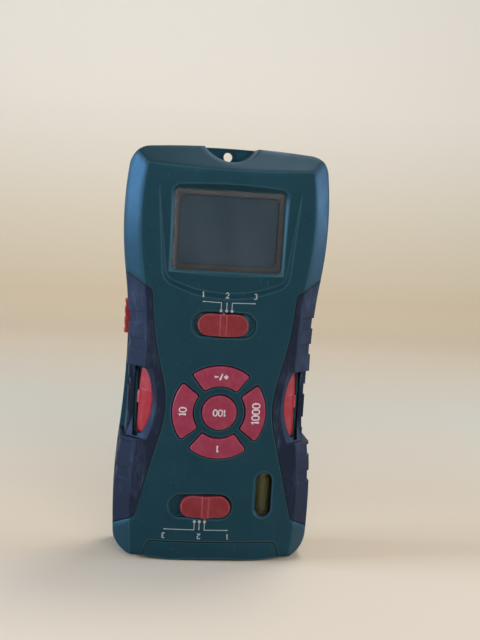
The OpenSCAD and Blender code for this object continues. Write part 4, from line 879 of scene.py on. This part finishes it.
# Spring wire: bright drawn steel with fine lines along the wire.
wire_steel, tree, surface, spot = finish_of("spring_steel_drawn", Metallic=1.0,
                                            Base_Color=linear("a8a9ad"))
drawn = add(tree, "TexNoise", {}, {"Vector": spot, "Scale": 1 / (0.2 * MM), "Detail": 2.0})
wire(surface, {"Roughness": add(tree, "MapRange", {}, {
    "Value": drawn, "To Min": 0.18, "To Max": 0.4})})
give(wire_steel, "left_key_spring", "right_key_spring")

# Trigger on the left flank.
# A red ABS block with five finger grooves, guided by the wall of the rear shell and held by a
# flange inside it.
TRIGGER_RIM, TRIGGER_ROUND, TRIGGER_ROOT = 0.9, 0.45, 1.4
GROOVES, GROOVE_DEEP = 5, 0.32
GROOVE_END, GROOVE_SIDE = 1.1, 0.1
trigger_low, trigger_high = [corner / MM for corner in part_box("side_trigger")]
trigger_y = (trigger_low.y + trigger_high.y) / 2
trigger_z = (trigger_low.z + trigger_high.z) / 2
trigger_w = trigger_high.y - trigger_low.y - 2 * TRIGGER_RIM
trigger_h = trigger_high.z - trigger_low.z - 2 * TRIGGER_RIM


def on_flank(u, v, h):
    return trigger_low.x - h, trigger_y + u, trigger_z + v


rows = []
inset = [0.0, 0.03, 0.12, 0.25, TRIGGER_ROUND]
straight = trigger_h - 2 * TRIGGER_ROUND
ups = [-trigger_h / 2 + d for d in inset[:-1]]
ups += [-trigger_h / 2 + TRIGGER_ROUND + straight * k / 40 for k in range(41)]
ups += [trigger_h / 2 - d for d in reversed(inset[:-1])]
sides = [-trigger_w / 2 + d for d in inset] + [0.0] + [trigger_w / 2 - d for d in reversed(inset)]
for v in ups:
    wave = max(math.cos(math.pi * v / (trigger_h / (GROOVES + 1))), 0.0)
    wave *= abs(v) < trigger_h / 2 - GROOVE_END
    row = []
    for u in sides:
        sunk = GROOVE_DEEP * wave * (abs(u) < trigger_w / 2 - GROOVE_SIDE)
        near = min(trigger_w / 2 - abs(u), trigger_h / 2 - abs(v))
        row.append((u, v, -sunk - eased(max(near, 0.0), TRIGGER_ROUND)))
    rows.append(row)
points, faces = heaped(rows, on_flank, trigger_low.x - trigger_high.x + TRIGGER_ROOT)
riding(built("side_trigger_moulding", points, faces, squeeze_red), "side_trigger", "key_plastic",
       "side_trigger")

# Rubber grips.
# Navy thermoplastic rubber, moulded over each flank in pads with grooves between them and
# pulled round the rear edge; the pads are polished and scuffed where a hand rubs them.
NAVY, NAVY_SCUFFED = "191f31", "44506a"
GRIP_SHEEN = (0.42, 0.62, 1.0, 1.0)
GRIP_GRAIN, GRIP_EDGE = 0.45, 0.9
# Worn rubber: deep navy and matt, with paler grey-blue scuffs on the pads and along the edges.
# The leather grain of such rubber is finer than this, and is drawn as coarse as shows.
grip_rubber, tree, surface, spot = finish_of("grip_rubber_scuffed", IOR=1.5,
                                             Specular_IOR_Level=0.26, Specular_Tint=GRIP_SHEEN)
soft = add(tree, "Bevel", {"samples": 6}, {"Radius": GRIP_EDGE * MM})
bent = add(tree, "VectorMath", {"operation": "DOT_PRODUCT"}, {
    0: soft, 1: add(tree, "NewGeometry").outputs["Normal"]})
edge = add(tree, "MapRange", {}, {"Value": bent.outputs["Value"], "From Min": 0.985,
                                  "From Max": 0.86, "To Max": 0.6})
patch = add(tree, "TexNoise", {}, {
    "Vector": add(tree, "Mapping", {}, {"Vector": spot, "Scale": (1.0, 1.0, 0.45)}),
    "Scale": 1 / (7 * MM), "Detail": 6.0, "Roughness": 0.62})
streak = add(tree, "TexNoise", {}, {
    "Vector": add(tree, "Mapping", {}, {"Vector": spot, "Rotation": (0.2, 0.5, 0.1),
                                        "Scale": (1.0, 1.0, 0.12)}),
    "Scale": 1 / (0.7 * MM), "Detail": 3.0})
scuffed = add(tree, "Math", {"operation": "MULTIPLY"}, {
    0: add(tree, "MapRange", {}, {"Value": patch, "From Min": 0.5, "From Max": 0.72}),
    1: add(tree, "MapRange", {}, {"Value": streak, "From Min": 0.4, "From Max": 0.66,
                                  "To Min": 0.1, "To Max": 0.75})})
worn_edge = add(tree, "Math", {"operation": "MULTIPLY"}, {
    0: edge, 1: add(tree, "MapRange", {}, {"Value": patch, "From Min": 0.35, "From Max": 0.6})})
leather = add(tree, "TexNoise", {}, {"Vector": spot, "Scale": 1 / (GRIP_GRAIN * MM), "Detail": 3.0})
wire(surface, {
    "Base Color": add(tree, "Mix", {"data_type": "RGBA"}, {
        "Factor": add(tree, "Math", {"operation": "MAXIMUM"}, {0: scuffed, 1: worn_edge}),
        "A": linear(NAVY), "B": linear(NAVY_SCUFFED)}),
    "Roughness": add(tree, "MapRange", {}, {"Value": scuffed, "To Min": 0.56, "To Max": 0.42}),
    "Normal": add(tree, "Bump", {}, {"Distance": 0.03 * MM, "Height": leather, "Normal": soft})})
give(grip_rubber, "left_grip", "right_grip")

# The fine joint round each grip and round the end cap.
# The mouldings meet with a hair of clearance, and its shadow is drawn as a dark tube along it:
# painted shade. Its line is the run of sharp corners on the front of each moulding that lie close
# to the front shell.
JOINT_R, JOINT_REACH = 0.17, 0.3
CORNER_ANGLE, FACING_FRONT = 40, -0.3
# Painted shade of the joint: nearly black and quite matt.
joint_shade, tree, surface, spot = finish_of("joint_painted_shade", Roughness=0.85, Specular_IOR_Level=0.2)
shade_mottle = add(tree, "TexNoise", {}, {"Vector": spot, "Scale": 1 / (1.5 * MM), "Detail": 3.0})
wire(surface, {"Base Color": add(tree, "Mix", {"data_type": "RGBA"}, {
    "Factor": shade_mottle, "A": linear("070b0f"), "B": linear("12181d")})})
skin = bmesh.new()
skin.from_mesh(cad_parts["front_shell"].data)
shell_skin = BVHTree.FromBMesh(skin)
skin.free()
for node in ("left_grip", "right_grip", "end_cap"):
    skin = bmesh.new()
    skin.from_mesh(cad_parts[node].data)
    bmesh.ops.remove_doubles(skin, verts=skin.verts, dist=0.001 * MM)
    corners = {}
    for edge in skin.edges:
        middle = (edge.verts[0].co + edge.verts[1].co) / 2
        if (len(edge.link_faces) == 2 and edge.calc_face_angle() > math.radians(CORNER_ANGLE)
                and min(f.normal.y for f in edge.link_faces) < FACING_FRONT
                and shell_skin.find_nearest(middle)[3] < JOINT_REACH * MM):
            for a, b in (edge.verts, reversed(edge.verts)):
                corners.setdefault(a.index, []).append(b.index)
    runs = []
    while corners:
        ends = [i for i, near in corners.items() if len(near) == 1] or list(corners)
        run, here = [min(ends)], min(ends)
        while here is not None:
            ahead = [i for i in corners.pop(here, []) if i in corners]
            here = ahead[0] if ahead else None
            run += ahead[:1]
        runs.append(run)
    skin.verts.ensure_lookup_table()
    run = [skin.verts[i].co.copy() for i in max(runs, key=len)]
    skin.free()
    path = bpy.data.curves.new(node + "_joint", "CURVE")
    path.dimensions = "3D"
    path.bevel_depth = JOINT_R * MM
    path.bevel_resolution = 1
    path.materials.append(joint_shade)
    spline = path.splines.new("POLY")
    spline.points.add(len(run) - 1)
    for point, at in zip(spline.points, run):
        point.co = (*at, 1.0)
    joint = bpy.data.objects.new(node + "_joint", path)
    bpy.context.scene.collection.objects.link(joint)
    riding(joint, "housing", "grip_rubber")

# Housing screws, driven from behind into the posts of the front shell.
# The same zinc-plated steel as the board's screws, with crossed slots.
give(zinc, "shell_screws")

# Floor and backdrop: one sheet of pale card, curved up well behind the instrument.
# Matt card, with painted shade: warmer and darker through the bend, where the light falls off.
# Where the lamps fall off it is lifted for the eye by a glow, and for what glass and gloss show of
# it, but it throws no more light on the instrument.
SWEEP_Y, SWEEP_R, SWEEP_TOP, SWEEP_HALF = 0.75, 0.35, 1.8, 2.6
CARD_FROM, CARD_TO = -0.2, 1.8
LIFT_FROM, LIFT_TO, LIFT = 0.1, 0.9, 0.55
card, tree, surface, spot = finish_of("card_matt_pale", Roughness=0.9, Specular_IOR_Level=0.2)
parts = add(tree, "SeparateXYZ", {}, {0: spot})
along = add(tree, "Math", {"operation": "ADD"}, {0: parts.outputs["Y"], 1: parts.outputs["Z"]})
# painted shade along the sheet: the tones darken and warm through the bend, where the light falls
# off
tones = add(tree, "ValToRGB", {}, {0: add(tree, "MapRange", {}, {
    "Value": along, "From Min": CARD_FROM, "From Max": CARD_TO})})
ramp = tones.color_ramp
ramp.elements[0].color = linear("e6d8c6")
ramp.elements[1].color = linear("dcd7cf")
for at, tone in ((-0.05, "e4d6c3"), (0.05, "dbcbb5"), (0.3, "cfc9bc"), (0.6, "d1c3ae"),
                 (0.92, "c0b097"), (1.15, "c8bda9"), (1.4, "d6cfc4")):
    ramp.elements.new((at - CARD_FROM) / (CARD_TO - CARD_FROM)).color = linear(tone)
ray = add(tree, "LightPath").outputs
shown = add(tree, "Math", {"operation": "MAXIMUM"}, {
    0: ray["Is Camera Ray"], 1: add(tree, "Math", {"operation": "MAXIMUM"}, {
        0: ray["Is Glossy Ray"], 1: ray["Is Transmission Ray"]})})
lift = add(tree, "Math", {"operation": "MULTIPLY"}, {0: shown, 1: add(tree, "MapRange", {}, {
    "Value": along, "From Min": LIFT_FROM, "From Max": LIFT_TO, "To Max": LIFT})})
wire(surface, {"Emission Color": tones, "Emission Strength": lift})
fibre = add(tree, "TexNoise", {}, {"Vector": spot, "Scale": 1 / (1.5 * MM), "Detail": 3.0})
wire(surface, {"Base Color": tones,
               "Normal": add(tree, "Bump", {}, {"Distance": 0.02 * MM, "Height": fibre})})
bend = [(SWEEP_Y + SWEEP_R * math.sin(math.radians(a)), SWEEP_R * (1 - math.cos(math.radians(a))))
        for a in range(0, 91, 5)]
profile = [(-1.2, 0.0)] + bend + [(SWEEP_Y + SWEEP_R, SWEEP_TOP)]
sheet = bpy.data.meshes.new("floor")
sheet.from_pydata([(x, y, z) for y, z in profile for x in (-SWEEP_HALF, SWEEP_HALF)], [],
                  [(2 * i, 2 * i + 1, 2 * i + 3, 2 * i + 2) for i in range(len(profile) - 1)])
sheet.materials.append(card)
sheet.shade_smooth()
floor = bpy.data.objects.new("floor", sheet)
bpy.context.scene.collection.objects.link(floor)

# Camera: a little left of the middle and a hand's height above the floor, turned slightly.
# AIM is a point low on the front, in millimetres, and AWAY is its place before the lens, as
# right, down and ahead.
YAW, PITCH, ROLL = -7.74, 6.47, 3.47
AWAY = Vector((-12.6, 100.7, 424.3))
AIM = Vector((0.0, -13.7, 1.3))
FOCAL = 56.25
lens = bpy.data.cameras.new("camera")
lens.lens = FOCAL
lens.clip_start = 0.01
eye = bpy.data.objects.new("camera", lens)
bpy.context.scene.collection.objects.link(eye)
bpy.context.scene.camera = eye
turn = (Matrix.Rotation(math.radians(ROLL), 3, "Z") @ Matrix.Rotation(math.radians(PITCH), 3, "X")
        @ Matrix.Rotation(math.radians(YAW), 3, "Y")
        @ Matrix(((1, 0, 0), (0, 0, -1), (0, 1, 0)))).transposed()
eye.matrix_world = Matrix.Translation((AIM - turn @ AWAY) * MM) @ (
    turn @ Matrix(((1, 0, 0), (0, -1, 0), (0, 0, -1)))).to_4x4()

# Lights: a large soft lamp above the camera, a small one overhead, a cool one at each side and
# a low, even room. Each lamp has its place and size in metres, its power and its tone.
ROOM_LIGHT, ROOM_SEEN = 0.22, 0.85
sky = bpy.data.worlds.new("room")
bpy.context.scene.world = sky
sky.use_nodes = True
seen = add(sky.node_tree, "LightPath").outputs["Is Camera Ray"]
wire(sky.node_tree.nodes["Background"], {
    "Color": linear("e6e2da"),
    "Strength": add(sky.node_tree, "MapRange", {}, {
        "Value": seen, "To Min": ROOM_LIGHT, "To Max": ROOM_SEEN})})
LOOK_AT = Vector((0, 0, 0.09))
for name, place, size, power, tone in (
        ("front_lamp", (0.1, -1.0, 0.55), (0.9, 0.4), 5.6, "fff6ea"),
        ("top_lamp", (0.2, 0.2, 0.85), (0.25, 0.25), 2.6, "fffaf2"),
        ("left_lamp", (-0.8, -0.03, 0.28), (0.25, 0.25), 6.6, "cfe4ff"),
        ("right_lamp", (0.85, -0.02, 0.27), (0.35, 0.3), 4.4, "cfe4ff")):
    lamp = bpy.data.lights.new(name, "AREA")
    lamp.shape = "RECTANGLE"
    lamp.size, lamp.size_y = size
    lamp.energy = power
    lamp.color = linear(tone)[:3]
    hung = bpy.data.objects.new(name, lamp)
    hung.location = place
    hung.rotation_euler = (LOOK_AT - Vector(place)).to_track_quat("-Z", "Y").to_euler()
    bpy.context.scene.collection.objects.link(hung)

bpy.context.scene.view_settings.view_transform = "Standard"
